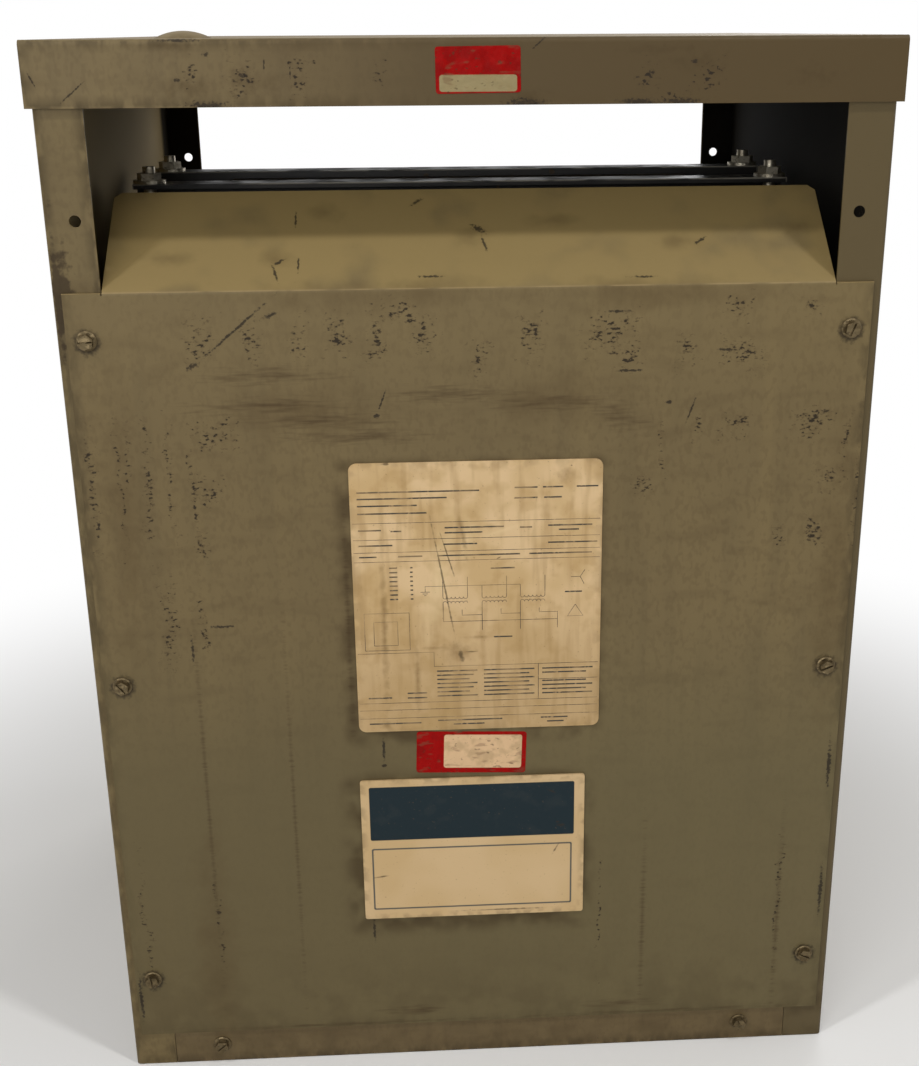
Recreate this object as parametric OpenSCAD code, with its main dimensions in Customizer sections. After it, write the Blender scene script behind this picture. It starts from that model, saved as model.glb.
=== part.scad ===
// Dry-type transformer, floor standing, in a ventilated sheet-steel enclosure.
// Millimetres, +Z up, origin on the floor under the middle of the body, front face towards -Y.

/* [Enclosure] */
// Width of the body over its side panels
body_width = 584; // [480:1:720]
// Depth of the body over its corner posts
body_depth = 520; // [420:1:640]
// Height from the floor to the top sheet of the lid
total_height = 816; // [680:1:980]
// Thickness of the enclosure sheet
sheet = 1.9; // [1.5:0.1:2.5]
// Inside radius of every fold in the enclosure sheet
fold_radius = 1.6; // [1:0.1:2.5]
// Width of each corner post, the folded edge of a side panel
post_width = 33.6; // [28:0.2:42]
// Width of the flanges that stiffen a side panel at its top and bottom
side_flange = 20; // [15:1:28]

/* [Lid] */
// Depth of the flange that hangs round the lid
lid_flange = 43.2; // [36:0.2:54]
// Gap between the lid's flange and the side panels
lid_side_gap = 1.8; // [0.8:0.1:3]
// Gap between the lid's flange and the corner posts
lid_front_gap = 1.2; // [0.6:0.1:3]
// Distance of the lid screws from the middle of each side
lid_screw_reach = 180; // [140:1:200]
// Diameter of the painted cap that closes the hole in the lid
cap_diameter = 40; // [30:1:50]
// Height of that cap
cap_height = 5; // [3:0.5:8]
// Distance of the cap's middle from the left side of the body
cap_from_side = 94; // [60:1:140]
// Distance of the cap's middle from the front of the body
cap_from_front = 60; // [40:1:120]

/* [Covers and vents] */
// Height from the fold of each cover up to the top of the lid
vent_drop = 166; // [140:1:200]
// Distance that the front cover's lip leans in behind the posts
front_lip_run = 76; // [60:1:92]
// Distance that the rear cover's lip leans in behind the posts
rear_lip_run = 43; // [34:1:92]
// Slope of both lips above the horizontal
lip_slope = 38.3; // [30:0.1:46]
// Corner cut off each end of a lip
lip_corner = 5; // [2:0.5:8]
// Gap between a lip and the posts beside it
lip_gap = 0.8; // [0.4:0.1:2]
// Height of the lower edge of the covers
cover_bottom = 31; // [24:1:40]
// Distance of the covers' edges from the sides of the body
cover_inset = 6.9; // [4:0.1:10]
// Distance of the cover screws from the sides of the body
cover_screw_inset = 21; // [17:0.5:24]
// Distance of the upper cover screws below the fold
upper_screw_drop = 33; // [24:1:44]
// Height of the lower cover screws above the covers' lower edge
lower_screw_rise = 54.6; // [40:0.1:70]
// Diameter of the open hole in each post beside the vent
post_hole_diameter = 8.3; // [6:0.1:10]
// Height of that hole above the covers' fold
post_hole_rise = 49; // [36:1:62]

/* [Base] */
// Height of the base rails between the posts
rail_height = 48; // [42:1:60]
// Width of the base channels that run from front to rear
channel_width = 60; // [50:1:66]
// Height of the base channels
channel_height = 30; // [24:1:34]
// Steel thickness of the base channels
channel_thickness = 3; // [2.5:0.1:4]
// Gap between each base channel and the corner posts beside it
channel_gap = 9.1; // [8:0.1:24]
// Diameter of the floor bolt holes in the base channels
floor_hole_diameter = 14.2; // [10:0.1:18]
// Distance of the floor bolt holes from the front and rear of the body
floor_hole_inset = 60; // [45:1:75]
// Height of the screws that fix the rails to the channels
rail_screw_height = 17; // [14:0.5:19]
// Height of the rubber pads under the core's stand
isolator_height = 12; // [9:1:16]
// Side of those square pads
isolator_size = 40; // [34:1:46]

/* [Screws] */
// Diameter of the screws' shanks
screw_diameter = 4.8; // [4:0.1:5.2]
// Length of the screws' shanks
screw_length = 12; // [9:1:16]
// Diameter of the washer formed under each head
washer_diameter = 14.5; // [12:0.1:16]
// Width of the hexagon across its flats
hex_width = 9.6; // [8:0.1:11]
// Height of the hexagon above its washer
hex_height = 4.2; // [3:0.1:5]
// Clearance of a screw in its hole
screw_clearance = 0.4; // [0.2:0.1:0.8]
// Thickness of the washer
washer_thickness = 1.5; // [1.2:0.1:2]
// Width of the slot in each head
slot_width = 1.4; // [1:0.1:2]
// Depth of that slot
slot_depth = 1.6; // [1:0.1:2.4]

/* [Plates] */
// Width of the rating plate
rating_width = 186.8; // [150:0.1:224]
// Height of the rating plate
rating_height = 217.7; // [180:0.1:240]
// Corner radius of the rating plate
rating_corner = 6; // [3:0.5:10]
// Width of the notice plate
notice_width = 177.8; // [148:0.1:213]
// Height of the notice plate
notice_height = 127; // [106:1:136]
// Gap between the two plates
plate_gap = 42.6; // [30:0.2:54]
// Distance of the pair of plates below the middle of the cover
plate_drop = 10.4; // [0:0.2:20]
// Distance of the notice plate's middle to the left of the middle of the cover
notice_shift = 5.8; // [0:0.1:12]
// Thickness of the rating plate
rating_thickness = 0.8; // [0.5:0.1:1.2]
// Thickness of the notice plate
notice_thickness = 1.6; // [1:0.1:2.5]

/* [Core and clamps] */
// Width of each of the core's three legs
leg_width = 76; // [63:1:92]
// Height of the two yokes that join the legs
yoke_height = 76; // [63:1:91]
// Thickness of the stack of laminations
core_stack = 82; // [68:1:98]
// Height of the windows between the yokes
window_height = 300; // [250:1:360]
// Distance from the top of the lid down to the top of the upper clamps
clamp_drop = 112; // [100:1:130]
// Height of the clamp channels
clamp_height = 50; // [42:1:60]
// Width of the clamp channels' flanges
clamp_flange = 24; // [22:1:29]
// Steel thickness of the clamp channels
clamp_thickness = 4; // [3:0.5:5]
// How far the clamps stand past the yokes' edges
clamp_proud = 6; // [4:1:8]
// Distance from the side of the body to the end of the clamps
clamp_inset = 24; // [20:1:28]
// Distance of the tie rods from the ends of the clamps
rod_inset = 12; // [11:0.5:13]
// Diameter of the tie rods and clamp bolts
rod_diameter = 10; // [8:1:11]
// Distance of the clamp bolts from the ends of the core
clamp_bolt_offset = 22; // [18:0.5:24]
// Steel thickness of the stand under the core
stand_thickness = 4; // [3:0.5:5]

/* [Windings] */
// Gap between the outer windings and the side panels
winding_side_gap = 50; // [44:1:56]
// Gap between neighbouring windings
phase_gap = 6; // [4:1:10]
// Thickness of the coil former round each leg
former = 3; // [2:0.5:4]
// Thickness of the inner winding
inner_build = 14; // [11:0.5:16]
// Width of the cooling ducts at the front and rear of each winding
duct_depth = 15; // [12:1:20]
// Gap between a winding and the yokes
end_gap = 8; // [5:1:12]
// Width of the spacer sticks that stand in the ducts
stick_width = 9; // [7:1:12]

/* [Terminals] */
// Thickness of the insulating terminal board
board_thickness = 8; // [6:1:12]
// Height of that board
board_height = 66; // [58:1:80]
// Gap between the ends of the board and the stand's uprights
board_gap = 9.3; // [6:0.1:20]
// Distance of the outer bars' edges from the ends of the board
board_margin = 8; // [4:1:14]
// Width of each low-voltage bar
load_bar_width = 30; // [24:1:36]
// Width of each high-voltage tab
line_tab_width = 20; // [16:1:24]
// Length of the low-voltage bars
load_bar_length = 96; // [80:1:115]
// Length of the high-voltage tabs
line_tab_length = 76; // [63:1:91]
// Distance of the bars' and tabs' tops below the top of the board
bar_drop = 6; // [3:1:10]
// Thickness of the bars and tabs
bar_thickness = 6; // [4:0.5:8]

/* [Hidden] */
$fn = 48;

enamel = "#7d735f";
black_paint = "#1c1b19";
zinc = "#b9b7ae";
varnish = "#5a3a22";

half_w = body_width / 2;
half_d = body_depth / 2;
fold_outer = fold_radius + sheet;
body_top = total_height - sheet;
lid_half_w = half_w + lid_side_gap + sheet;
lid_half_d = half_d + lid_front_gap + sheet;
lid_screw_z = total_height - lid_flange / 2;
screw_hole = screw_diameter + screw_clearance;

cover_fold = total_height - vent_drop;
cover_half = half_w - cover_inset;
vent_half = half_w - post_width;
lip_half = vent_half - lip_gap;
cover_screw_x = half_w - cover_screw_inset;
upper_screw_z = cover_fold - upper_screw_drop;
lower_screw_z = cover_bottom + lower_screw_rise;
cover_screw_zs = [lower_screw_z, (lower_screw_z + upper_screw_z) / 2, upper_screw_z];
// Turn of each screw's slot, as it was left after driving.
slot_angles = [4, 68, 130, 22, 95, 155, 40, 110];

// The two plates are a pair, one above the other, on the cover.
pair_height = rating_height + plate_gap + notice_height;
plates_bottom = (cover_bottom + cover_fold - pair_height) / 2 - plate_drop;
notice_z = plates_bottom + notice_height / 2;
rating_z = plates_bottom + pair_height - rating_height / 2;
notice_corner = 2;

channel_x = vent_half - channel_gap - channel_width / 2;
channel_half_l = half_d - sheet;
floor_hole_y = half_d - floor_hole_inset;
isolator_top = channel_height + isolator_height;
foot_size = isolator_size + 4;
// A rail's ends stop at this gap from the posts, and its tabs lie behind them.
rail_gap = 0.4;
rail_half = vent_half - rail_gap;
rail_flange = 20;
tab_reach = 15;
tab_lap = 7;
tab_inset = 3;

clamp_top_z = total_height - clamp_drop;
core_top = clamp_top_z - clamp_proud;
core_bottom = core_top - 2 * yoke_height - window_height;
clamp_low_z = core_bottom - clamp_proud;
clamp_half = half_w - clamp_inset;
clamp_y = core_stack / 2;
clamp_mid_y = clamp_y + clamp_flange / 2;
rod_x = clamp_half - rod_inset;
rod_hole = rod_diameter + 1;
nut_height = 0.8 * rod_diameter;
nut_across = 1.7 * rod_diameter;
rod_stub = 5;

// Each winding's build takes the width that the enclosure leaves beside three legs.
winding_build = (half_w - sheet - winding_side_gap - 1.5 * leg_width - phase_gap) / 3;
window_width = 2 * winding_build + phase_gap;
leg_pitch = leg_width + window_width;
core_half = leg_pitch + leg_width / 2;
clamp_bolt_x = core_half + clamp_bolt_offset;
winding_bottom = core_bottom + yoke_height + end_gap;
winding_height = window_height - 2 * end_gap;
// Slip fit of a former on its leg, and of the outer winding over the inner one.
leg_slack = 0.3;
winding_split = 1;
outer_build = winding_build - former - inner_build - winding_split;
inner_half_x = leg_width / 2 + former + inner_build;
inner_half_y = core_stack / 2 + former + inner_build;
outer_half_x = leg_width / 2 + winding_build;
outer_half_y = inner_half_y + duct_depth + outer_build;
// The corners round off with each layer of the winding.
inner_corner = leg_slack + former + inner_build;
outer_bore_corner = inner_corner + winding_split;
outer_corner = outer_bore_corner + outer_build;
stick_spread = inner_half_x - inner_corner - stick_width / 2;
// The blocks under the windings are wide enough to carry the sticks too.
block_half = stick_spread + stick_width / 2;
block_setback = 4;

board_top = clamp_low_z + clamp_height;
board_half = channel_x - foot_size / 2 - board_gap;
board_face = clamp_y + clamp_flange + board_thickness;
terminal_pitch = 2 * (board_half - board_margin - load_bar_width / 2) / 3;

// Sheet-metal helpers. A profile is drawn in the plane across its length.
module along_x(length) {
    translate([-length / 2, 0, 0]) rotate([90, 0, 90]) linear_extrude(length) children();
}

module along_y(length) {
    translate([0, length / 2, 0]) rotate([90, 0, 0]) linear_extrude(length) children();
}

// Section of a fold: a ring sector from angle a0, swept by turn, about the origin.
module fold(a0, turn) {
    reach = 2 * fold_outer;
    intersection() {
        difference() {
            circle(fold_outer);
            circle(fold_radius);
        }
        polygon([[0, 0],
                 reach * [cos(a0), sin(a0)],
                 reach * [cos(a0 + turn / 2), sin(a0 + turn / 2)],
                 reach * [cos(a0 + turn), sin(a0 + turn)]]);
    }
}

module round_rect(half_x, half_y, r) {
    square([2 * (half_x - r), 2 * half_y], center = true);
    square([2 * half_x, 2 * (half_y - r)], center = true);
    for (sx = [-1, 1], sy = [-1, 1])
        translate([sx * (half_x - r), sy * (half_y - r)]) circle(r);
}

// A hole along one axis through the sheets or plates that stand at a point.
drill_depth = 20;
module drill_x(x, y, z, d) {
    translate([x, y, z]) rotate([0, 90, 0]) cylinder(d = d, h = drill_depth, center = true);
}

module drill_y(x, y, z, d) {
    translate([x, y, z]) rotate([90, 0, 0]) cylinder(d = d, h = drill_depth, center = true);
}

module drill_z(x, y, z, d) {
    translate([x, y, z]) cylinder(d = d, h = drill_depth, center = true);
}

// Lid: a pan folded down on its four sides, with the side flanges inside the other two.
module lid() {
    side_len = 2 * (lid_half_d - fold_outer);
    color(enamel) difference() {
        union() {
            translate([-lid_half_w + fold_outer, -lid_half_d + fold_outer, body_top])
                cube([2 * (lid_half_w - fold_outer), side_len, sheet]);
            for (s = [0, 1]) mirror([0, s, 0]) along_x(2 * lid_half_w) {
                translate([-lid_half_d, total_height - lid_flange])
                    square([sheet, lid_flange - fold_outer]);
                translate([-lid_half_d + fold_outer, total_height - fold_outer]) fold(90, 90);
            }
            for (s = [0, 1]) mirror([s, 0, 0]) along_y(side_len) {
                translate([lid_half_w - sheet, total_height - lid_flange])
                    square([sheet, lid_flange - fold_outer]);
                translate([lid_half_w - fold_outer, total_height - fold_outer]) fold(0, 90);
            }
        }
        for (sx = [-1, 1], sy = [-1, 1])
            drill_x(sx * lid_half_w, sy * lid_screw_reach, lid_screw_z, screw_hole);
    }
}

// Painted cap over a closed hole near the lid's front left corner: a low part of a ball.
module lid_cap() {
    r = cap_diameter / 2;
    ball = (r * r + cap_height * cap_height) / (2 * cap_height);
    color(enamel) translate([-half_w + cap_from_side, -half_d + cap_from_front, total_height])
        rotate_extrude($fn = 128) intersection() {
            translate([0, cap_height - ball]) circle(ball);
            square([r, cap_height]);
        }
}

// Side panel with its two corner posts, drawn for the right-hand side. Its top and bottom are
// folded inwards; the posts stop short of the fold at the top and stand on the floor.
module side_panel() {
    web_len = 2 * (half_d - fold_outer);
    color(enamel) difference() {
        union() {
            along_y(web_len) {
                translate([half_w - sheet, fold_outer]) square([sheet, body_top - 2 * fold_outer]);
                translate([half_w - fold_outer, fold_outer]) fold(270, 90);
                translate([half_w - fold_outer, body_top - fold_outer]) fold(0, 90);
                for (z = [0, body_top - sheet]) translate([half_w - side_flange, z])
                    square([side_flange - fold_outer, sheet]);
            }
            linear_extrude(body_top - fold_outer) for (s = [0, 1]) mirror([0, s]) {
                translate([half_w - post_width, -half_d]) square([post_width - fold_outer, sheet]);
                translate([half_w - fold_outer, -half_d + fold_outer]) fold(270, 90);
            }
        }
        for (sy = [-1, 1]) {
            for (z = cover_screw_zs) drill_y(cover_screw_x, sy * half_d, z, screw_hole);
            drill_y(cover_screw_x, sy * half_d, cover_fold + post_hole_rise, post_hole_diameter);
            drill_x(half_w, sy * lid_screw_reach, lid_screw_z, screw_hole);
        }
    }
}

module side_left() { mirror([1, 0, 0]) side_panel(); }
module side_right() { side_panel(); }

// Points of an arc about a centre.
function arc(centre, r, a0, a1, steps) = [
    for (i = [0:steps])
        let (a = a0 + (a1 - a0) * i / steps)
        centre + r * [cos(a), sin(a)]
];

// Cover: a flat sheet over the posts whose top leans in between them as a vent lip.
// The section gives the middle its fold and lip, and a wing on each side laps a post.
module cover(lip_run) {
    turn = 90 - lip_slope;
    fold_steps = 6;
    wing_lap = 5;
    set_back = fold_outer * tan(turn / 2);
    centre = [-half_d + fold_radius, cover_fold - set_back];
    lip_length = lip_run / sin(turn) - set_back;
    along = [sin(turn), cos(turn)];
    outer_arc = arc(centre, fold_outer, 180, 180 - turn, fold_steps);
    inner_arc = arc(centre, fold_radius, 180 - turn, 180, fold_steps);
    lip_start = outer_arc[fold_steps];
    lip_end = lip_start + lip_length * along;
    section = concat([[-half_d - sheet, cover_bottom]], outer_arc,
                     [lip_end, inner_arc[0] + lip_length * along], inner_arc,
                     [[-half_d, cover_bottom]]);
    color(enamel) difference() {
        union() {
            along_x(2 * lip_half) polygon(section);
            for (s = [0, 1]) mirror([s, 0, 0]) {
                translate([lip_half - wing_lap, -half_d - sheet, cover_bottom])
                    cube([cover_half - lip_half + wing_lap, sheet, centre[1] - cover_bottom]);
                translate([vent_half, -half_d - sheet, cover_bottom])
                    cube([cover_half - vent_half, sheet, cover_fold - cover_bottom]);
            }
        }
        for (s = [0, 1]) mirror([s, 0, 0])
            translate([lip_half, lip_end[0], lip_end[1]]) rotate([90 - turn, 0, 0])
                corner_cut(lip_corner);
        for (sx = [-1, 1], z = cover_screw_zs) drill_y(sx * cover_screw_x, -half_d, z, screw_hole);
    }
}

// Cuts a corner off at 45 degrees from a sheet that ends at X = 0 and Y = 0.
module corner_cut(size) {
    linear_extrude(drill_depth, center = true)
        polygon([[-size, 1], [-size, 0], [0, -size], [1, -size], [1, 1]]);
}

module cover_front() { cover(front_lip_run); }
module cover_rear() { mirror([0, 1, 0]) cover(rear_lip_run); }

// Base rail between two posts, with a tab behind each post.
module base_rail() {
    color(enamel) difference() {
        union() {
            translate([-rail_half, -half_d, 0]) cube([2 * rail_half, sheet, rail_height]);
            translate([-rail_half, -half_d, rail_height - sheet])
                cube([2 * rail_half, rail_flange, sheet]);
            for (s = [0, 1]) mirror([s, 0, 0])
                translate([rail_half - tab_lap, -half_d + sheet, tab_inset])
                    cube([tab_lap + tab_reach, sheet, rail_height - sheet - 2 * tab_inset]);
        }
        for (sx = [-1, 1]) drill_y(sx * channel_x, -half_d, rail_screw_height, screw_hole);
    }
}

module rail_front() { base_rail(); }
module rail_rear() { mirror([0, 1, 0]) base_rail(); }

// Base channel: an inverted U with closed ends, which the stand and the floor bolts use.
module base_channel(x) {
    t = channel_thickness;
    color(enamel) translate([x, 0, 0]) difference() {
        translate([-channel_width / 2, -channel_half_l, 0])
            cube([channel_width, 2 * channel_half_l, channel_height]);
        translate([-channel_width / 2 + t, -channel_half_l + t, -1])
            cube([channel_width - 2 * t, 2 * (channel_half_l - t), channel_height - t + 1]);
        for (s = [-1, 1]) {
            drill_z(0, s * floor_hole_y, channel_height, floor_hole_diameter);
            drill_y(0, s * channel_half_l, rail_screw_height, screw_hole);
        }
    }
}

module channel_left() { base_channel(-channel_x); }
module channel_right() { base_channel(channel_x); }

// Slotted screw with a hexagon on a formed washer: head from z = 0 up, shank below.
module hex_screw(slot_angle) {
    rim = 0.6 * washer_thickness;
    difference() {
        union() {
            cylinder(d = washer_diameter, h = rim);
            translate([0, 0, rim])
                cylinder(d1 = washer_diameter, d2 = washer_diameter - 2,
                         h = washer_thickness - rim);
            translate([0, 0, washer_thickness]) rotate(slot_angle + 15)
                cylinder(d = hex_width / cos(30), h = hex_height, $fn = 6);
            translate([0, 0, -screw_length])
                cylinder(d = screw_diameter, h = screw_length + washer_thickness);
        }
        rotate(slot_angle)
            translate([-hex_width, -slot_width / 2, washer_thickness + hex_height - slot_depth])
                cube([2 * hex_width, slot_width, 2 * slot_depth]);
    }
}

// The screws of one face: six hold the cover and two the rail.
module screws_front() {
    color(zinc) {
        for (i = [0, 1], j = [0:2])
            translate([(2 * i - 1) * cover_screw_x, -half_d - sheet, cover_screw_zs[2 - j]])
                rotate([90, 0, 0]) hex_screw(slot_angles[i + 2 * j]);
        for (i = [0, 1])
            translate([(2 * i - 1) * channel_x, -half_d, rail_screw_height])
                rotate([90, 0, 0]) hex_screw(slot_angles[6 + i]);
    }
}

module screws_rear() { rotate(180) screws_front(); }

module screws_lid() {
    color(zinc) for (s = [0, 180], y = [-1, 1]) rotate(s)
        translate([lid_half_w, y * lid_screw_reach, lid_screw_z])
            rotate([0, 90, 0]) hex_screw(30 + 50 * y);
}

module face_plate(x, z, w, h, t, r) {
    translate([x, -half_d - sheet, z]) rotate([90, 0, 0])
        linear_extrude(t) round_rect(w / 2, h / 2, r);
}

module rating_plate() {
    color("#b5aa92") face_plate(0, rating_z, rating_width, rating_height,
                                rating_thickness, rating_corner);
}

module notice_plate() {
    color("#cfc9b8") face_plate(-notice_shift, notice_z, notice_width, notice_height,
                                notice_thickness, notice_corner);
}

// Core: laminations in the shape of two windows side by side.
module core() {
    color("#4a4640") along_y(core_stack) difference() {
        translate([-core_half, core_bottom])
            square([2 * core_half, core_top - core_bottom]);
        for (s = [-1, 1])
            translate([s * leg_pitch / 2 - window_width / 2, core_bottom + yoke_height])
                square([window_width, window_height]);
    }
}

module winding_tube(leg, inside, outside, r_in, r_out) {
    translate([leg * leg_pitch, 0, winding_bottom]) linear_extrude(winding_height) difference() {
        round_rect(outside[0], outside[1], r_out);
        round_rect(inside[0], inside[1], r_in);
    }
}

// Inner winding on its former, a snug sleeve over the leg.
module inner_winding(leg) {
    color(varnish) winding_tube(leg, [leg_width / 2 + leg_slack, core_stack / 2 + leg_slack],
                                [inner_half_x, inner_half_y], leg_slack, inner_corner);
}

// Outer winding, held away from the inner one by the ducts at front and rear.
module outer_winding(leg) {
    color(varnish) winding_tube(leg, [inner_half_x + winding_split, inner_half_y + duct_depth],
                                [outer_half_x, outer_half_y], outer_bore_corner, outer_corner);
}

module inner_winding_left() { inner_winding(-1); }
module inner_winding_middle() { inner_winding(0); }
module inner_winding_right() { inner_winding(1); }
module outer_winding_left() { outer_winding(-1); }
module outer_winding_middle() { outer_winding(0); }
module outer_winding_right() { outer_winding(1); }

// Spacer sticks that keep the ducts open.
module duct_sticks() {
    color("#c9a66b") for (leg = [-1:1], s = [-1, 1], k = [-1, 0, 1])
        translate([leg * leg_pitch + k * stick_spread, s * (inner_half_y + duct_depth / 2),
                   winding_bottom + winding_height / 2])
            cube([stick_width, duct_depth, winding_height], center = true);
}

// Blocks on the lower clamps that carry the windings.
module coil_blocks() {
    block_y = clamp_y + leg_slack;
    color("#b98a52") for (leg = [-1:1], s = [0, 1]) mirror([0, s, 0])
        translate([leg * leg_pitch - block_half, block_y, board_top])
            cube([2 * block_half, outer_half_y - block_setback - block_y,
                  winding_bottom - board_top]);
}

// Clamp channel along one side of a yoke, with its flanges turned away from the core.
module clamp(z) {
    t = clamp_thickness;
    color(black_paint) difference() {
        translate([-clamp_half, clamp_y, z]) cube([2 * clamp_half, clamp_flange, clamp_height]);
        translate([-clamp_half - 1, clamp_y + t, z + t])
            cube([2 * clamp_half + 2, clamp_flange, clamp_height - 2 * t]);
        for (sx = [-1, 1]) {
            drill_y(sx * clamp_bolt_x, clamp_y, z + clamp_height / 2, rod_hole);
            for (edge = [z, z + clamp_height])
                drill_z(sx * rod_x, clamp_mid_y, edge, rod_hole);
        }
    }
}

module clamp_top_front() { mirror([0, 1, 0]) clamp(clamp_top_z - clamp_height); }
module clamp_top_rear() { clamp(clamp_top_z - clamp_height); }
module clamp_bottom_front() { mirror([0, 1, 0]) clamp(clamp_low_z); }
module clamp_bottom_rear() { clamp(clamp_low_z); }

// Threaded rod along Z from z = 0 with a nut at each end of the grip.
module nutted_rod(grip) {
    translate([0, 0, -nut_height - rod_stub])
        cylinder(d = rod_diameter, h = grip + 2 * (nut_height + rod_stub));
    for (z = [-nut_height, grip]) translate([0, 0, z])
        cylinder(d = nut_across / cos(30), h = nut_height, $fn = 6);
}

// Bolts through the ends of each pair of clamps.
module clamp_bolts() {
    grip = core_stack + 2 * clamp_thickness;
    color(zinc) for (sx = [-1, 1], z = [clamp_low_z, clamp_top_z - clamp_height])
        translate([sx * clamp_bolt_x, grip / 2, z + clamp_height / 2])
            rotate([90, 0, 0]) nutted_rod(grip);
}

// Upright rods that tie the upper clamps to the lower ones.
module tie_rods() {
    color(zinc) for (sx = [-1, 1], sy = [-1, 1])
        translate([sx * rod_x, sy * clamp_mid_y, clamp_low_z])
            nutted_rod(clamp_top_z - clamp_low_z);
}

// One upright of the stand: an angle with a plate at each end.
module stand(sx, sy) {
    t = stand_thickness;
    height = clamp_low_z - isolator_top;
    color(black_paint) translate([sx * channel_x, sy * clamp_mid_y, isolator_top])
        scale([sx, sy, 1]) translate([-foot_size / 2, -foot_size / 2, 0]) {
            for (z = [0, height - t]) translate([0, 0, z]) cube([foot_size, foot_size, t]);
            cube([t, foot_size, height]);
            cube([foot_size, t, height]);
        }
}

module stand_front_left() { stand(-1, -1); }
module stand_front_right() { stand(1, -1); }
module stand_rear_left() { stand(-1, 1); }
module stand_rear_right() { stand(1, 1); }

module isolators() {
    color("#222222") for (sx = [-1, 1], sy = [-1, 1])
        translate([sx * channel_x, sy * clamp_mid_y, channel_height + isolator_height / 2])
            cube([isolator_size, isolator_size, isolator_height], center = true);
}

// Insulating board across the front of the lower clamp.
module terminal_board() {
    color("#7a4632") translate([-board_half, -board_face, board_top - board_height])
        cube([2 * board_half, board_thickness, board_height]);
}

// A bar on the face of the board with a cable-lug hole near its lower end.
module terminal_bar(x, width, length) {
    translate([x - width / 2, -board_face - bar_thickness, board_top - bar_drop - length])
        difference() {
            cube([width, bar_thickness, length]);
            drill_y(width / 2, bar_thickness / 2, width / 2, width / 3);
        }
}

module load_terminals() {
    color("#a9a9a3") for (k = [-1.5:1:1.5])
        terminal_bar(k * terminal_pitch, load_bar_width, load_bar_length);
}

module line_terminals() {
    color("#a9a9a3") for (k = [-1:1])
        terminal_bar(k * terminal_pitch, line_tab_width, line_tab_length);
}

lid();
lid_cap();
side_left();
side_right();
cover_front();
cover_rear();
rail_front();
rail_rear();
channel_left();
channel_right();
screws_front();
screws_rear();
screws_lid();
rating_plate();
notice_plate();
core();
inner_winding_left();
inner_winding_middle();
inner_winding_right();
outer_winding_left();
outer_winding_middle();
outer_winding_right();
duct_sticks();
coil_blocks();
clamp_top_front();
clamp_top_rear();
clamp_bottom_front();
clamp_bottom_rear();
clamp_bolts();
tie_rods();
stand_front_left();
stand_front_right();
stand_rear_left();
stand_rear_right();
isolators();
terminal_board();
load_terminals();
line_terminals();
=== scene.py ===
from math import cos, pi, radians, sin

import bpy
from bpy.props import FloatProperty, FloatVectorProperty, PointerProperty
from mathutils import Matrix, Vector


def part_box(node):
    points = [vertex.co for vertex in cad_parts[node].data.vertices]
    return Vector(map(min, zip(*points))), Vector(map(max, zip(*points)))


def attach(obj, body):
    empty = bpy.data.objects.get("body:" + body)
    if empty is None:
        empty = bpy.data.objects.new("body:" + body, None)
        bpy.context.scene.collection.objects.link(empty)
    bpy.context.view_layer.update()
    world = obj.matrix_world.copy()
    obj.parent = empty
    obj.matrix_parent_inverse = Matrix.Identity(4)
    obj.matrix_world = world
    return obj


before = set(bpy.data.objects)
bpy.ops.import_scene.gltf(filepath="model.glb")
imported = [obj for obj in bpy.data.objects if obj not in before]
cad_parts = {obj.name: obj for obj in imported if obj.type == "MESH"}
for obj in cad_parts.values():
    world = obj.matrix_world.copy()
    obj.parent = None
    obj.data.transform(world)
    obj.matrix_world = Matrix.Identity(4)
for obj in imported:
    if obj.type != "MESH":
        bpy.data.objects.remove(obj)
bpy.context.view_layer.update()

bl_info = {
    "name": "Dry-Type Transformer",
    "version": (1, 0, 0),
    "blender": (4, 5, 0),
    "location": "View3D > Sidebar > Transformer",
    "description": "Finishes, plates and small hardware for a floor-standing dry-type transformer",
    "category": "Object",
}

MM = 0.001
EVEN = (1, 1, 1)
SOFT = {"interpolation_type": "SMOOTHSTEP"}
MATH, VECTOR, RANGE = "ShaderNodeMath", "ShaderNodeVectorMath", "ShaderNodeMapRange"
# Old baked enamel has chalked, so it mirrors less than new gloss paint.
SATIN = {"IOR": 1.5, "Specular IOR Level": 0.25}


def linear(hexcode):
    """Turns an sRGB hex value into a linear colour."""
    parts = [int(hexcode[i:i + 2], 16) / 255 for i in (1, 3, 5)]
    return [c / 12.92 if c <= 0.04045 else ((c + 0.055) / 1.055) ** 2.4 for c in parts] + [1.0]


def corners(node):
    """The middle and the half size of a CAD node's box, in millimetres."""
    low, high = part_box(node)
    return (low + high) / (2 * MM), (high - low) / (2 * MM)


def front(node):
    """The y of the foremost face of a CAD node, in millimetres."""
    middle, half = corners(node)
    return middle.y - half.y


FACE = front("cover_front")
# The slanted lip of a cover: its fold, its upper edge and how far it leans back for each mm up.
FOLD, LIP_TOP, LIP_LEAN = 650.0, 715, 1.27
# Half the depth of a listed mark, which keeps it on the face that it belongs to.
MARK_DEPTH = 14


# ---------------- settings

def colour(name, description, hexcode):
    """A setting for a colour, from an sRGB hex value."""
    return FloatVectorProperty(
        name=name, description=description, subtype="COLOR", size=4, min=0, max=1,
        default=linear(hexcode))


def length(name, description, millimetres):
    """A setting for a length."""
    return FloatProperty(
        name=name, description=description, unit="LENGTH", min=0, default=millimetres * MM)


def power(name, description, watts):
    """A setting for the power of a lamp."""
    return FloatProperty(name=name, description=description, unit="POWER", min=0, default=watts)


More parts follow.
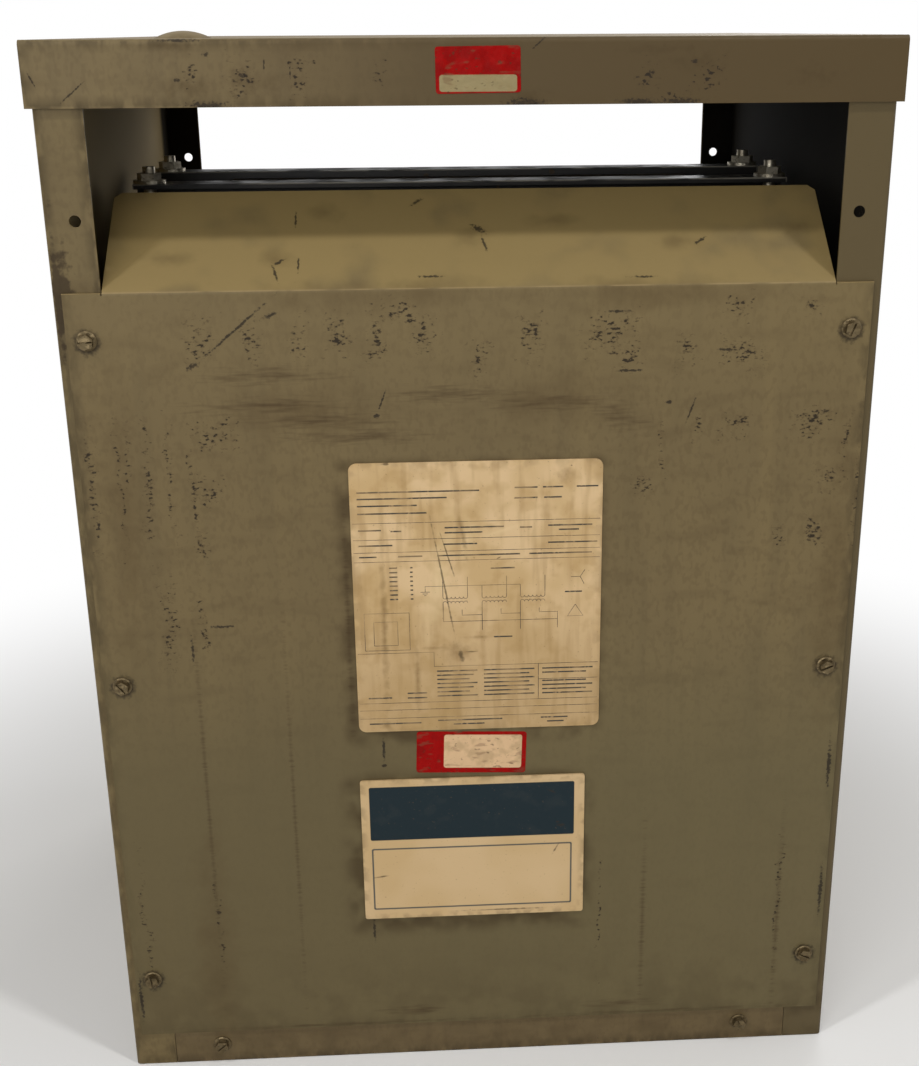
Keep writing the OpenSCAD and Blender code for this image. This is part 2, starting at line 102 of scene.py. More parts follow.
class PaintSettings(bpy.types.PropertyGroup):
    cover: colour("Covers", "Baked enamel of the two covers", "#6f5f3e")
    lid: colour("Lid", "Baked enamel of the lid", "#6f5f3e")
    body: colour("Body", "Baked enamel of the side panels and posts", "#6c5c3b")
    base: colour("Base", "Baked enamel of the rails and channels", "#645437")
    peel: length("Orange peel", "Width of one wave in the paint film", 3.0)


class PlateSettings(bpy.types.PropertyGroup):
    film: colour("Plate film", "Aged film of the rating plate", "#d2b488")
    ink: colour("Ink", "Ink of the ruled lines and the diagram", "#2f281c")
    line: length("Line", "Width of a printed line", 0.45)
    entry: length("Entry line", "Width of a line that stands for an entry", 1.3)
    label_width: length("Label width", "Width of the red label", 86.0)
    label_height: length("Label height", "Height of the red label", 36.0)
    sticker_width: length("Sticker width", "Width of the sticker on the lid", 57.0)
    sticker_height: length("Sticker height", "Height of the sticker on the lid", 30.0)


class HardwareSettings(bpy.types.PropertyGroup):
    washer: length("Washer", "Diameter of the flat washers on the clamps", 26.0)
    washer_thickness: length("Washer thickness", "Thickness of those washers", 2.5)
    bolt: length("Bolt", "Width across the head of the small bolts", 13.0)


class StudioSettings(bpy.types.PropertyGroup):
    world: FloatProperty(
        name="Room light", description="Strength of the even light", min=0, default=0.37)
    key: power("Key lamp", "Power of each of the two lamps above", 16.5)
    fill: power("Fill lamp", "Power of the lamp in front", 42.0)
    back: power("Back lamp", "Power of the lamp behind", 30.0)
    side: power("Side lamp", "Power of the lamp on the right", 8.0)


# ---------------- nodes

def add(tree, kind, inputs=None, **settings):
    """Adds one node: its settings first, then a value or a link for each input."""
    node = tree.nodes.new(kind)
    for name, value in settings.items():
        setattr(node, name, value)
    for socket, value in (inputs or {}).items():
        if isinstance(value, bpy.types.Node):
            value = value.outputs[0]
        if isinstance(value, bpy.types.NodeSocket):
            tree.links.new(value, node.inputs[socket])
        else:
            node.inputs[socket].default_value = value
    return node


def chain(tree, kind, value, *steps):
    """Passes a value through nodes of one kind: each step has its operation and its other values."""
    for operation, *others in steps:
        value = add(tree, kind, dict(enumerate((value, *others))), operation=operation)
    return value


def start(name):
    """A new material, its tree and the place on the object in millimetres."""
    material = bpy.data.materials.new(name)
    material.use_nodes = True
    tree = material.node_tree
    tree.nodes.clear()
    where = add(tree, "ShaderNodeTexCoord").outputs["Object"]
    return material, tree, add(tree, VECTOR, {0: where, "Scale": 1 / MM}, operation="SCALE")


def spread(tree, place, size, seed, stretch=EVEN):
    """The place in steps of size, moved by seed so that each pattern falls differently."""
    steps = [1 / (size * s) for s in stretch]
    moved = (3.7 * seed % 41, 5.3 * seed % 37, 7.9 * seed % 43)
    return add(tree, VECTOR, {0: place, 1: steps, 2: moved}, operation="MULTIPLY_ADD")


def cloud(tree, place, size, seed, stretch=EVEN, detail=2.0):
    """Noise with features about size wide."""
    return add(tree, "ShaderNodeTexNoise", {
        "Vector": spread(tree, place, size, seed, stretch), "Scale": 1.0, "Detail": detail})


def patches(tree, place, size, low, high, seed, stretch=EVEN, detail=2.0):
    """Random soft patches about size wide, none below low and full above high."""
    noise = cloud(tree, place, size, seed, stretch, detail)
    return add(tree, RANGE, {"Value": noise, "From Min": low, "From Max": high}, **SOFT)


def times(tree, *masks):
    """The masks multiplied together, where a plain number counts as an even mask."""
    return chain(tree, MATH, masks[0], *[("MULTIPLY", each) for each in masks[1:]])


def mask(tree, place, wanted):
    """Makes a mask that is written down as data.

    A tuple holds the numbers of patches, or a function and what it takes. A function may also stand
    alone. A list is multiplied together, and anything else is a mask already.
    """
    if isinstance(wanted, list):
        return times(tree, *[mask(tree, place, each) for each in wanted])
    if callable(wanted):
        return wanted(tree, place)
    if isinstance(wanted, tuple):
        if callable(wanted[0]):
            return wanted[0](tree, place, *wanted[1:])
        return patches(tree, place, *wanted)
    return wanted


def flecks(tree, place, size, share, seed, crowd):
    """Specks of random size that gather in crowds, each inside a cell size wide."""
    cells = add(tree, "ShaderNodeTexVoronoi", {"Vector": spread(tree, place, size, seed), "Scale": 1.0})
    pick = add(tree, "ShaderNodeSeparateColor", {0: cells.outputs["Color"]})
    big = add(tree, MATH, {0: pick, 1: 3.0}, operation="POWER")
    edge = times(tree, big, patches(tree, place, crowd, 0.5, 0.64, seed + 5), share)
    within = add(tree, MATH, {0: edge, 1: cells.outputs["Distance"]}, operation="SUBTRACT")
    return add(tree, RANGE, {"Value": within, "From Min": 0.0, "From Max": 0.08})


def marks(tree, place, spots, seed, ragged=0.7, grain=7.0, soft=0.5, drawn=EVEN):
    """Marks listed one by one on a front face: x and z of each, by half length, half height and turn."""
    distances, turned = [], {0: place}
    for (long, high, turn), laid_at in sorted(spots.items()):
        c, s = cos(radians(turn)), sin(radians(turn))
        if turn not in turned:
            turned[turn] = add(tree, "ShaderNodeVectorRotate", {
                "Vector": place, "Angle": radians(turn)}, rotation_type="Y_AXIS")
        scaled = add(tree, VECTOR, {
            0: turned[turn], 1: (1 / long, 1 / MARK_DEPTH, 1 / high)}, operation="MULTIPLY")
        for x, z in laid_at:
            deep = FACE + (LIP_LEAN * (z - FOLD) if FOLD < z < LIP_TOP else 0)
            middle = ((x * c + z * s) / long, deep / MARK_DEPTH, (z * c - x * s) / high)
            away = add(tree, VECTOR, {0: scaled, 1: middle}, operation="DISTANCE")
            distances.append(away.outputs["Value"])
    nearest = chain(tree, MATH, distances[0], *[("MINIMUM", away) for away in distances[1:]])
    rough = cloud(tree, place, grain, seed, drawn)
    torn = add(tree, MATH, {0: rough, 1: 2 * ragged, 2: nearest}, operation="MULTIPLY_ADD")
    return add(tree, RANGE, {
        "Value": torn, "From Min": 1.0 + ragged, "From Max": 1.0 + ragged - soft}, **SOFT)


def bumps(tree, along, low, high, places):
    """One at each place along an axis and nothing between them, from a ramp."""
    node = add(tree, "ShaderNodeValToRGB", {
        0: add(tree, RANGE, {"Value": along, "From Min": low, "From Max": high})})
    stops = node.color_ramp.elements
    stops[0].color, stops[1].color = (0, 0, 0, 1), (0, 0, 0, 1)
    # The ramp's own two stops lie at nothing and one, so the new ones keep just inside them.
    first, last = 0.001, 0.999
    for middle, half in places:
        for at, level in ((-half, 0), (0, 1), (half, 0)):
            stop = stops.new(min(last, max(first, (middle + at - low) / (high - low))))
            stop.color = (level, level, level, 1)
    return node.outputs[0]


def gathered(tree, place, rows, seed):
    """Where pits gather, row by row: the row's height and half height, then x and half length of each."""
    left, right, wander = -300, 320, (16, 0, 30)
    drift = cloud(tree, place, 18, seed, detail=1.0).outputs["Color"]
    moved = add(tree, VECTOR, {0: drift, 1: wander, 2: place}, operation="MULTIPLY_ADD")
    apart = add(tree, "ShaderNodeSeparateXYZ", {0: moved}).outputs
    made = []
    for level, half, places in rows:
        shifted = [(at + wander[0] / 2, wide) for at, wide in places]
        across = bumps(tree, apart[0], left, right, shifted)
        row = [(level + wander[2] / 2, half)]
        upright = bumps(tree, apart[2], level - 4 * half, level + 4 * half, row)
        made.append(chain(tree, MATH, across, ("MINIMUM", upright)))
    return chain(tree, MATH, made[0], *[("MAXIMUM", row) for row in made[1:]])


def specks(tree, place, seed, where, size=2.1, stretch=(1.6, 1.6, 1)):
    """Small ragged pits and their faint rims, thick where the mask is full and none where it is empty."""
    fine = cloud(tree, place, size, seed, stretch)
    raised = add(tree, MATH, {0: where, 1: 0.36, 2: fine}, operation="MULTIPLY_ADD")
    return [add(tree, RANGE, {"Value": raised, "From Min": low, "From Max": high})
            for low, high in ((0.86, 0.93), (0.77, 0.87))]


def spots_of_dirt(tree, place, seed, share, size=2.1, stretch=(1.6, 1.6, 1)):
    """The same pits, spread evenly."""
    return specks(tree, place, seed, share, size, stretch)[0]


def past_box(tree, offset, half):
    """How far a place lies outside a box, from its offset to the box's middle."""
    return chain(tree, VECTOR, offset, ("ABSOLUTE",), ("SUBTRACT", half),
                 ("MAXIMUM", (0, 0, 0)), ("LENGTH",)).outputs["Value"]


def depths(tree, place, node):
    """How deep a place lies in a node's box along x, y and z, in millimetres."""
    middle, half = corners(node)
    away = chain(tree, VECTOR, place, ("SUBTRACT", middle), ("ABSOLUTE",))
    depth = add(tree, VECTOR, {0: half, 1: away}, operation="SUBTRACT")
    return add(tree, "ShaderNodeSeparateXYZ", {0: depth}).outputs


def edge_distance(tree, place, node):
    """How far the nearest edge of a node's box lies, in millimetres."""
    a, b, c = depths(tree, place, node)
    other = chain(tree, MATH, a, ("MAXIMUM", b), ("MINIMUM", c))
    return chain(tree, MATH, a, ("MINIMUM", b), ("MAXIMUM", other))


def edges(tree, place, node, reach, away=None):
    """One along the edges of a node's box, falling to nothing at reach from them."""
    away = away or edge_distance(tree, place, node)
    return add(tree, RANGE, {"Value": away, "From Min": reach, "From Max": 0.0})


def inner_faces(tree, place, node):
    """One on the inner faces of a box-like node, more than 1.2 mm under its outer ones."""
    a, b, c = depths(tree, place, node)
    least = chain(tree, MATH, a, ("MINIMUM", b), ("MINIMUM", c))
    return add(tree, RANGE, {"Value": least, "From Min": 0.9, "From Max": 1.2})


def upward(tree, place, low=0.55, high=0.95):
    """One on faces that look up, where dust settles; on the lip it also carries painted light from above.
    """
    facing = add(tree, "ShaderNodeSeparateXYZ", {0: add(tree, "ShaderNodeNewGeometry").outputs["Normal"]})
    return add(tree, RANGE, {"Value": facing.outputs[2], "From Min": low, "From Max": high})


def ramp(tree, place, axis, low, high):
    """Nothing at low and one at high, in millimetres along an axis."""
    along = add(tree, "ShaderNodeSeparateXYZ", {0: place}).outputs[axis]
    return add(tree, RANGE, {"Value": along, "From Min": low, "From Max": high}, **SOFT)


def finish(begun, base, rough, layers, grain=None, nodes=(), **shader):
    """Lays the layers over the base, and puts the material on CAD nodes.

    Each layer has a mask, a colour and its share, then a roughness and a rise in mm if it needs them.
    """
    material, tree, place = begun
    tone = linear(base) if isinstance(base, str) else base
    height = mask(tree, place, grain)
    for wanted, hexcode, share, *rest in layers:
        gloss, rise = (*rest, None, None)[:2]
        where = mask(tree, place, wanted)
        amount = times(tree, where, share)
        tone = add(tree, "ShaderNodeMix", {0: amount, 6: tone, 7: linear(hexcode)},
                   data_type="RGBA").outputs[2]
        if gloss is not None:
            rough = add(tree, "ShaderNodeMix", {0: amount, 2: rough, 3: gloss}).outputs[0]
        if rise:
            height = add(tree, MATH, {0: where, 1: rise, 2: height or 0.0},
                         operation="MULTIPLY_ADD").outputs[0]
    inputs = {"Base Color": tone, "Roughness": rough}
    if height is not None:
        inputs["Normal"] = add(tree, "ShaderNodeBump", {"Height": height, "Distance": MM})
    inputs.update(shader)
    surface = add(tree, "ShaderNodeBsdfPrincipled", inputs)
    add(tree, "ShaderNodeOutputMaterial", {"Surface": surface.outputs[0]})
    for node in nodes:
        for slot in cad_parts[node].material_slots:
            slot.material = material
    return material


def dust(size, seed, share):
    """A layer of dust on the faces that look up."""
    return [upward, (size, 0.3, 0.6, seed)], "#8b7e66", share, 0.9


def centres(node, reach=30):
    """The middle of each fastener of a node, none of them reach wide, in millimetres."""
    groups = []
    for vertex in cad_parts[node].data.vertices:
        point = vertex.co / MM
        for group in groups:
            if (group[0] - point).length < reach:
                group.append(point)
                break
        else:
            groups.append([point])
    spans = [[(min(axis), max(axis)) for axis in zip(*group)] for group in groups]
    return [Vector([(low + high) / 2 for low, high in span]) for span in spans]


# ---------------- stage

# The camera in front: its place in metres, its lens in mm, its shift as a share, its turns in radians.
CAMERA_PLACE, CAMERA_LENS, CAMERA_SHIFT = (-0.0376, -1.2579, 0.8206), 55.71, (-0.0477, -0.001)
CAMERA_YAW, CAMERA_PITCH, CAMERA_ROLL = 0.0574, 0.3397, 0.0057
# Each lamp's setting, width, place and aim, in metres.
LAMPS = (
    ("key", 0.18, (-1.25, -1.2, 2.85), (0.0, -0.2, 0.65)),
    ("key", 0.18, (1.05, -1.2, 2.85), (0.0, -0.2, 0.65)),
    ("fill", 2.2, (-1.2, -3.2, 1.6), (0, 0, 0.45)),
    ("side", 2.0, (3.4, 0.9, 1.7), (0.3, 0, 0.4)),
    ("back", 1.6, (1.5, 3.0, 1.5), (-0.1, 0.2, 0.7)),
)


def lamp(name, watts, size, place, aim):
    """A soft square lamp that the camera doesn't see."""
    data = bpy.data.lights.new(name, "AREA")
    data.energy, data.size, data.shape = watts, size, "SQUARE"
    made = bpy.data.objects.new(name, data)
    made.location = place
    made.rotation_euler = (Vector(aim) - Vector(place)).to_track_quat("-Z", "Y").to_euler()
    made.visible_camera = False
    bpy.context.scene.collection.objects.link(made)


def seen_directly(tree):
    """One for the rays that show the background: straight, mirrored or through glass."""
    path = add(tree, "ShaderNodeLightPath").outputs
    return chain(tree, MATH, path["Is Camera Ray"], ("MAXIMUM", path["Is Glossy Ray"]),
                 ("MAXIMUM", path["Is Transmission Ray"]))


def disc_mesh(name, reach, rings=24, spokes=64):
    """A flat disc of rings that are close together in the middle."""
    points, faces = [(0, 0, 0)], []
    for i in range(1, rings + 1):
        r = reach * (i / rings) ** 2
        points += [(r * cos(2 * pi * j / spokes), r * sin(2 * pi * j / spokes), 0) for j in range(spokes)]
    for j in range(spokes):
        faces.append((0, 1 + j, 1 + (j + 1) % spokes))
        for i in range(rings - 1):
            a, b = 1 + i * spokes, 1 + (i + 1) * spokes
            faces.append((a + j, b + j, b + (j + 1) % spokes, a + (j + 1) % spokes))
    mesh = bpy.data.meshes.new(name)
    mesh.from_pydata(points, [], faces)
    return mesh


class TRANSFORMER_OT_stage(bpy.types.Operator):
    """Makes the pale floor, the soft studio light and the camera"""
    bl_idname = "transformer.stage"
    bl_label = "Stage"

    def execute(self, context):
        scene = context.scene
        studio = scene.transformer_studio
        scene.view_settings.view_transform = "Standard"

        eye = bpy.data.cameras.new("camera")
        eye.sensor_fit, eye.sensor_width = "HORIZONTAL", 36
        eye.lens = CAMERA_LENS
        eye.shift_x, eye.shift_y = CAMERA_SHIFT
        ahead = Vector((sin(CAMERA_YAW) * cos(CAMERA_PITCH), cos(CAMERA_YAW) * cos(CAMERA_PITCH),
                        -sin(CAMERA_PITCH)))
        right = Vector((cos(CAMERA_YAW), -sin(CAMERA_YAW), 0))
        down = ahead.cross(right)
        c, s = cos(CAMERA_ROLL), sin(CAMERA_ROLL)
        right, down = c * right + s * down, c * down - s * right
        camera = bpy.data.objects.new("camera", eye)
        turn = Matrix((right, -down, -ahead)).transposed().to_4x4()
        camera.matrix_world = Matrix.Translation(CAMERA_PLACE) @ turn
        scene.collection.objects.link(camera)
        scene.camera = camera

        world = bpy.data.worlds.new("room")
        world.use_nodes = True
        tree = world.node_tree
        tree.nodes.clear()
        level = add(tree, "ShaderNodeMix", {0: seen_directly(tree), 2: studio.world, 3: 1.0})
        light = add(tree, "ShaderNodeBackground", {"Color": (1, 1, 1, 1), "Strength": level})
        add(tree, "ShaderNodeOutputWorld", {0: light})
        scene.world = world
        for name, size, place, aim in LAMPS:
            lamp(name, getattr(studio, name), size, place, aim)

        mesh = disc_mesh("floor", 14.0)
        floor = bpy.data.objects.new("floor", mesh)
        floor.location.z = -0.5 * MM
        scene.collection.objects.link(floor)

        # Pale painted floor, an even matt white: it fades into the background away from the object.
        material, tree, place = start("Pale matt floor paint")
        matt = add(tree, "ShaderNodeBsdfDiffuse", {"Color": linear("#f4f3f1")})
        glow = add(tree, "ShaderNodeEmission", {"Strength": 1.0})
        away = chain(tree, VECTOR, place, ("MULTIPLY", (1, 1, 0)), ("LENGTH",))
        far = add(tree, RANGE, {
            "Value": away.outputs["Value"], "From Min": 450.0, "From Max": 1100.0}, **SOFT)
        mixed = add(tree, "ShaderNodeMixShader", {
            0: times(tree, far, seen_directly(tree)), 1: matt, 2: glow})
        add(tree, "ShaderNodeOutputMaterial", {"Surface": mixed})
        mesh.materials.append(material)
        return {"FINISHED"}


# ---------------- enamel

def shade(tone, share):
    """A darker or lighter paint of the same hue, as sRGB hex."""
    parts = []
    for c in tone[:3]:
        c = min(1.0, c * share)
        parts.append(round(255 * (12.92 * c if c <= 0.0031308 else 1.055 * c ** (1 / 2.4) - 0.055)))
    return "#%02x%02x%02x" % tuple(parts)


def enamel(title, node, tone, seed, extra=(), pitted=(), worn=1.0):
    """Baked enamel on folded sheet: satin, with orange peel, runs of dirt, pits and rubbed edges, and dirt
    with painted shade along its edges and seams.
    """
    begun = start("Baked enamel, " + title)
    tree, place = begun[1:]
    away = edge_distance(tree, place, node)
    if pitted:
        crowd = gathered(tree, place, pitted, seed + 11)
    else:
        crowd = patches(tree, place, 90, 0.6, 0.92, seed + 10, (1, 1, 1.6), 1.0)
    pits, rims = specks(tree, place, seed + 12, crowd)
    layers = [
        ((210, 0.4, 0.64, seed + 3), shade(tone, 0.84), 0.55),
        ((12, 0.46, 0.72, seed + 5, (1, 1, 18)), shade(tone, 0.74), 0.38),
        ((34, 0.5, 0.74, seed + 6, (1, 1, 10)), shade(tone, 1.18), 0.4),
        ((17, 0.48, 0.74, seed + 7, (3, 3, 1), 3.0), "#43331b", 0.24, 0.62),
        ((3.6, 0.46, 0.7, seed + 8, (1, 1, 1.6), 1.0), "#4d3d22", 0.22),
        # Dirt along the edges of each piece, with painted shade in the seams where it meets the next piece.
        ([(edges, node, 9, away), (8, 0.34, 0.58, seed + 9, (1, 1, 2.4))], "#2f2411", 0.62, 0.7),
        ([(edges, node, 2.0, away), (15, 0.46, 0.6, seed + 13)], shade(tone, 1.45), 0.5 * worn, 0.4),
        (upward, "#8d7b57", 0.3, 0.8),
        *extra,
        (rims, "#46371f", 0.5, 0.6),
        (pits, "#150d04", 0.85, 0.7),
    ]
    # Paint film waves 3 mm wide and about 0.01 mm high.
    peel = bpy.context.scene.transformer_paint.peel / MM
    film = [(peel, 0.3, 0.7, seed + 1, EVEN, 0.0), 0.012]
    finish(begun, tone, 0.48, layers, film, (node,), **SATIN)


# Where pits gather on the front cover, row by row: height, half height, then x and half length of each.
COVER_PITS = (
    (616, 27, ((-191, 24), (-160, 14), (-123, 11), (-97, 15), (-66, 18), (-38, 20), (40, 15), (97, 34))),
    (602, 20, ((110, 20), (153, 15), (193, 25), (3, 12))),
    (634, 13, ((-56, 20), (188, 18), (240, 14))),
    (547, 20, ((-187, 28), (-235, 5), (190, 20), (248, 26), (162, 10))),
    (505, 18, ((-195, 20), (121, 15), (260, 20))),
    (462, 18, ((-204, 9), (228, 10), (252, 17))),
    (505, 90, ((-277, 6), (-257, 4), (-238, 6), (-221, 5), (-206, 4), (286, 5))),
    (531, 42, ((-250, 4), (136, 4), (273, 4))),
    (400, 56, ((-232, 12), (-207, 6))),
    (138, 110, ((-273, 6), (-213, 4), (96, 3), (247, 4))),
)
# Marks on the front cover and its lip: half length, half height and turn, then x and z of each.
# Broad brown haze, where it has been handled and splashed.
COVER_HAZE = {
    (16, 12, 0): [(-138, 668), (0, 680), (240, 684), (-105, 696)], (24, 160, 0): [(272, 420), (-258, 480),
    (-216, 110)], (26, 8, 0): [(150, 676), (-215, 670), (60, 690)], (85, 30, 0): [(-125, 566), (60, 570)],
    (130, 20, 0): [(120, 644), (-60, 646)],
}
# Dark scratches, smudges and drips.
COVER_DARK = {
    (1.0, 6, 0): [(-123, 665), (-126, 692)], (1.4, 7, 25): [(-139, 660), (9, 676)],
    (1.5, 12, 0): [(-88, 126), (-75, 290), (-216, 380)], (2.0, 26, 0): [(280, 262), (281, 147),
    (-282, 66)], (3, 1.8, 0): [(-71, 559), (141, 565), (-213, 147), (-75, 276)],
    (6, 1.2, 25): [(-136, 667), (165, 676), (-39, 702)], (7, 2.0, 25): [(-143, 633), (-199, 598)],
    (7, 2.2, -25): [(5, 685)], (10, 1.3, 0): [(102, 632), (112, 589), (181, 603), (-192, 398)],
    (11, 0.9, 0): [(120, 655), (-30, 657)], (11, 0.9, 70): [(-67, 570), (157, 559)],
    (36, 1.2, 40): [(-168, 623)],
}
# Brown rubbed-in dirt; the long thin marks along the bottom edge, at z 33, are also painted shade in the
# seam above the rail.
COVER_BROWN = {
    (2.4, 205, 0): [(-147, 230), (-214, 250)], (3, 112, 0): [(-98, 400), (133, 122), (246, 122)],
    (30, 12, -25): [(104, 556)], (38, 6, 0): [(-58, 44), (120, 42)], (60, 8, 0): [(-150, 568), (-20, 574),
    (60, 566), (-150, 590), (-110, 556), (-84, 544)], (165, 2.6, 0): [(-130, 33), (140, 33)],
}
# Where pits gather on the lid's front flange, and its dark marks and rubs.
LID_PITS = (
    (792, 22, ((-184, 14), (-152, 26), (-116, 18), (-60, 8), (118, 15), (158, 20))),
    (775, 7, ((-172, 34), (38, 24), (136, 28))),
)
LID_DARK = {
    (0.9, 4.5, 0): [(-137, 800), (-120, 794)], (3.2, 1.7, 0): [(-152, 793), (-175, 806), (-194, 790),
    (121, 793), (150, 800)], (7, 0.8, -65): [(-289, 791)], (8, 0.8, 40): [(-267, 780), (45, 812)],
    (12, 0.8, 40): [(-262, 784)], (16, 1.4, 0): [(-192, 815)], (16, 3.0, 0): [(36, 774.5), (142, 774),
    (-177, 774), (112, 774)],
}
LID_BROWN = {
    (24, 10, 0): [(-186, 785), (-148, 788), (152, 799), (236, 790), (36, 778)], (34, 4, 0): [(-200, 812),
    (130, 808)],
}


def laid(spots, seed, **how):
    """A mask of listed marks."""
    return lambda tree, place: marks(tree, place, spots, seed, **how)


def screw_dirt_and_shade(node, seed):
    """Dirt held round each screw, and a little more below it, with painted shade in the recess round each
    head.
    """
    rings = {(11.5, 11, 0): [(c.x, c.z - 0.9) for c in centres(node) if c.x > 0]}

    def make(tree, place):
        both = chain(tree, VECTOR, place, ("ABSOLUTE",), ("MULTIPLY", (1, -1, 1)))
        return marks(tree, both, rings, seed, grain=3.0, soft=0.45, ragged=0.35)
    return make, "#241b0e", 0.8, 0.7


def plate_dirt_and_shadow(tree, place):
    """One along the edges of the plates, more on the left and below: dirt, and a painted shadow that the
    plates cast.
    """
    near = []
    for node, reach in (("rating_plate", 12), ("notice_plate", 17)):
        middle, half = corners(node)
        offset = add(tree, VECTOR, {0: place, 1: middle + Vector((-4, 0, -5))},
                     operation="SUBTRACT")
        near.append(add(tree, RANGE, {
            "Value": past_box(tree, offset, (half.x, 500, half.z)), "From Min": reach, "From Max": 0.0},
            **SOFT))
    return add(tree, MATH, {0: near[0], 1: near[1]}, operation="MAXIMUM")


def fold_line(tree, place, y):
    """One along the fold between a cover and its lip."""
    away = chain(tree, VECTOR, place, ("SUBTRACT", (0, y, FOLD + 0.5)),
                 ("MULTIPLY", (0, 1, 1)), ("LENGTH",))
    return add(tree, RANGE, {
        "Value": away.outputs["Value"], "From Min": 1.0, "From Max": 0.3})


def fold_rub_and_highlight(y, seed):
    """Paint rubbed thin along the fold, with a painted highlight where the fold catches the light."""
    return [(fold_line, y), (30, 0.34, 0.52, seed)], "#a58c5e", 0.75, 0.4


def inner_light_and_shade(node, hexcode, share=0.9, behind=-300):
    """Colour painted on the inner faces behind a depth, in place of their light and shade: a dark colour is
    painted shade, a pale one is painted light that comes in through the vents; the film is also dull.
    """
    return [(inner_faces, node), (ramp, 1, behind, behind + 20)], hexcode, share, 0.9


def lower_dirt(low, high, seed, share=0.5):
    """Splashed dirt that thickens towards the floor."""
    return [(ramp, 2, high, low), (24, 0.36, 0.66, seed)], "#3d3019", share, 0.8


def tone_along(axis, low, high, hexcode, share):
    """A slow change of tone from one end to the other along an axis."""
    return (ramp, axis, low, high), hexcode, share


def front_painted_shade(y, low, high, hexcode):
    """Painted shade on the front faces only, from low to high along x: darker where less light falls."""
    return [(ramp, 0, low, high), (ramp, 1, y + 8, y + 1)], hexcode, 1.0


# Pale dust that lies on the slanted lip and dulls it, with painted light: the lip faces up to the lamps and
# is painted lighter for it.
LIP_DUST_AND_LIGHT = [(upward, 0.4, 0.75), (50, 0.2, 0.5, 63)], "#8f7a4c", 0.75, 0.55


class TRANSFORMER_OT_enclosure(bpy.types.Operator):
    """Paints the lid, the side panels with their posts, and the base"""
    bl_idname = "transformer.enclosure"
    bl_label = "Enclosure paint"

    def execute(self, context):
        paint = context.scene.transformer_paint
        # Baked grey-khaki enamel on folded steel: satin, dirty where hands and hooks go.
        enamel("lid", "lid", paint.lid, 10, (
            # Painted shade: the lid's front flange is painted darker towards the right, where less light
            # falls on it.
            front_painted_shade(-263, -300, 60, "#4e3f24"),
            (laid(LID_BROWN, 31, soft=1.3, grain=6.0, ragged=1.0), "#43341a", 0.55, 0.7),
            (laid(LID_DARK, 32, grain=2.0, ragged=1.1, soft=0.7), "#1b130a", 0.8, 0.7),
            # Painted shade on the lid's inner faces.
            inner_light_and_shade("lid", "#2b2417")), pitted=LID_PITS)
        enamel("lid cap", "lid_cap", paint.lid, 11)
        enamel("left side", "side_left", paint.body, 12, (
            lower_dirt(0, 180, 41),
            # Painted light on the left side's inner face, where the lamps shine in through the vents, and
            # painted shade on it further back.
            inner_light_and_shade("side_left", "#a08a5c"),
            inner_light_and_shade("side_left", "#120e09", 0.95, 215),
            (laid({(3, 60, 0): [(-288, 649)], (8, 40, 0): [(-284, 648)]}, 45, grain=5.0, ragged=0.9),
             "#2a1d0c", 0.75, 0.7)))
        enamel("right side", "side_right", paint.body, 13, (
            # Painted shade: the front of the right post is painted darker towards the right, where less
            # light falls on it.
            front_painted_shade(-260, 100, 260, shade(paint.body, 0.64)),
            lower_dirt(0, 180, 42),
            # Painted shade on the right side's inner faces.
            inner_light_and_shade("side_right", "#0a0806", 0.95)))
        for i, node in enumerate(("rail_front", "rail_rear", "channel_left", "channel_right")):
            enamel(node.replace("_", " "), node, paint.base, 14 + i,
                   (lower_dirt(0, 60, 43 + i, 0.35),), worn=1.3)
        return {"FINISHED"}


class TRANSFORMER_OT_covers(bpy.types.Operator):
    """Paints the front and rear covers, with the marks that years of use left on the front"""
    bl_idname = "transformer.covers"
    bl_label = "Cover paint"

    def execute(self, context):
        paint = context.scene.transformer_paint
        # The same enamel: the cover is handled most, so it has more scratches, rubs and drips.
        enamel("front cover", "cover_front", paint.cover, 20, (
            tone_along(2, 430, 230, "#5e5437", 0.75),
            tone_along(2, 540, 640, "#7f6e49", 0.25),
            tone_along(0, 150, -250, "#57482b", 0.22),
            lower_dirt(31, 120, 51, 0.3),
            # Dust and painted light on the lip.
            LIP_DUST_AND_LIGHT,
            # Dirt and a painted shadow round the plates.
            ([plate_dirt_and_shadow, (28, 0.36, 0.62, 71)], "#38290f", 0.68, 0.7),
            # Dirt and painted shade round the screws.
            screw_dirt_and_shade("screws_front", 52),
            (laid(COVER_HAZE, 53, soft=1.2, grain=16.0), "#4b3a1e", 0.42, 0.7),
            (laid(COVER_BROWN, 54, soft=1.5, grain=2.4, ragged=1.3, drawn=(9, 1, 1)),
             "#3d2c15", 0.66, 0.7),
            (laid(COVER_DARK, 55, grain=2.0, ragged=1.0, soft=0.7), "#1a120a", 0.85, 0.7),
            # Paint rubbed along the fold, with a painted highlight on it.
            fold_rub_and_highlight(FACE, 58)), pitted=COVER_PITS, worn=0.3)
        # The rear cover has the same dust and painted light on its lip, and the same rub and painted
        # highlight on its fold.
        enamel("rear cover", "cover_rear", paint.cover, 21, (
            LIP_DUST_AND_LIGHT, lower_dirt(31, 160, 61), fold_rub_and_highlight(-FACE, 62)))
        return {"FINISHED"}


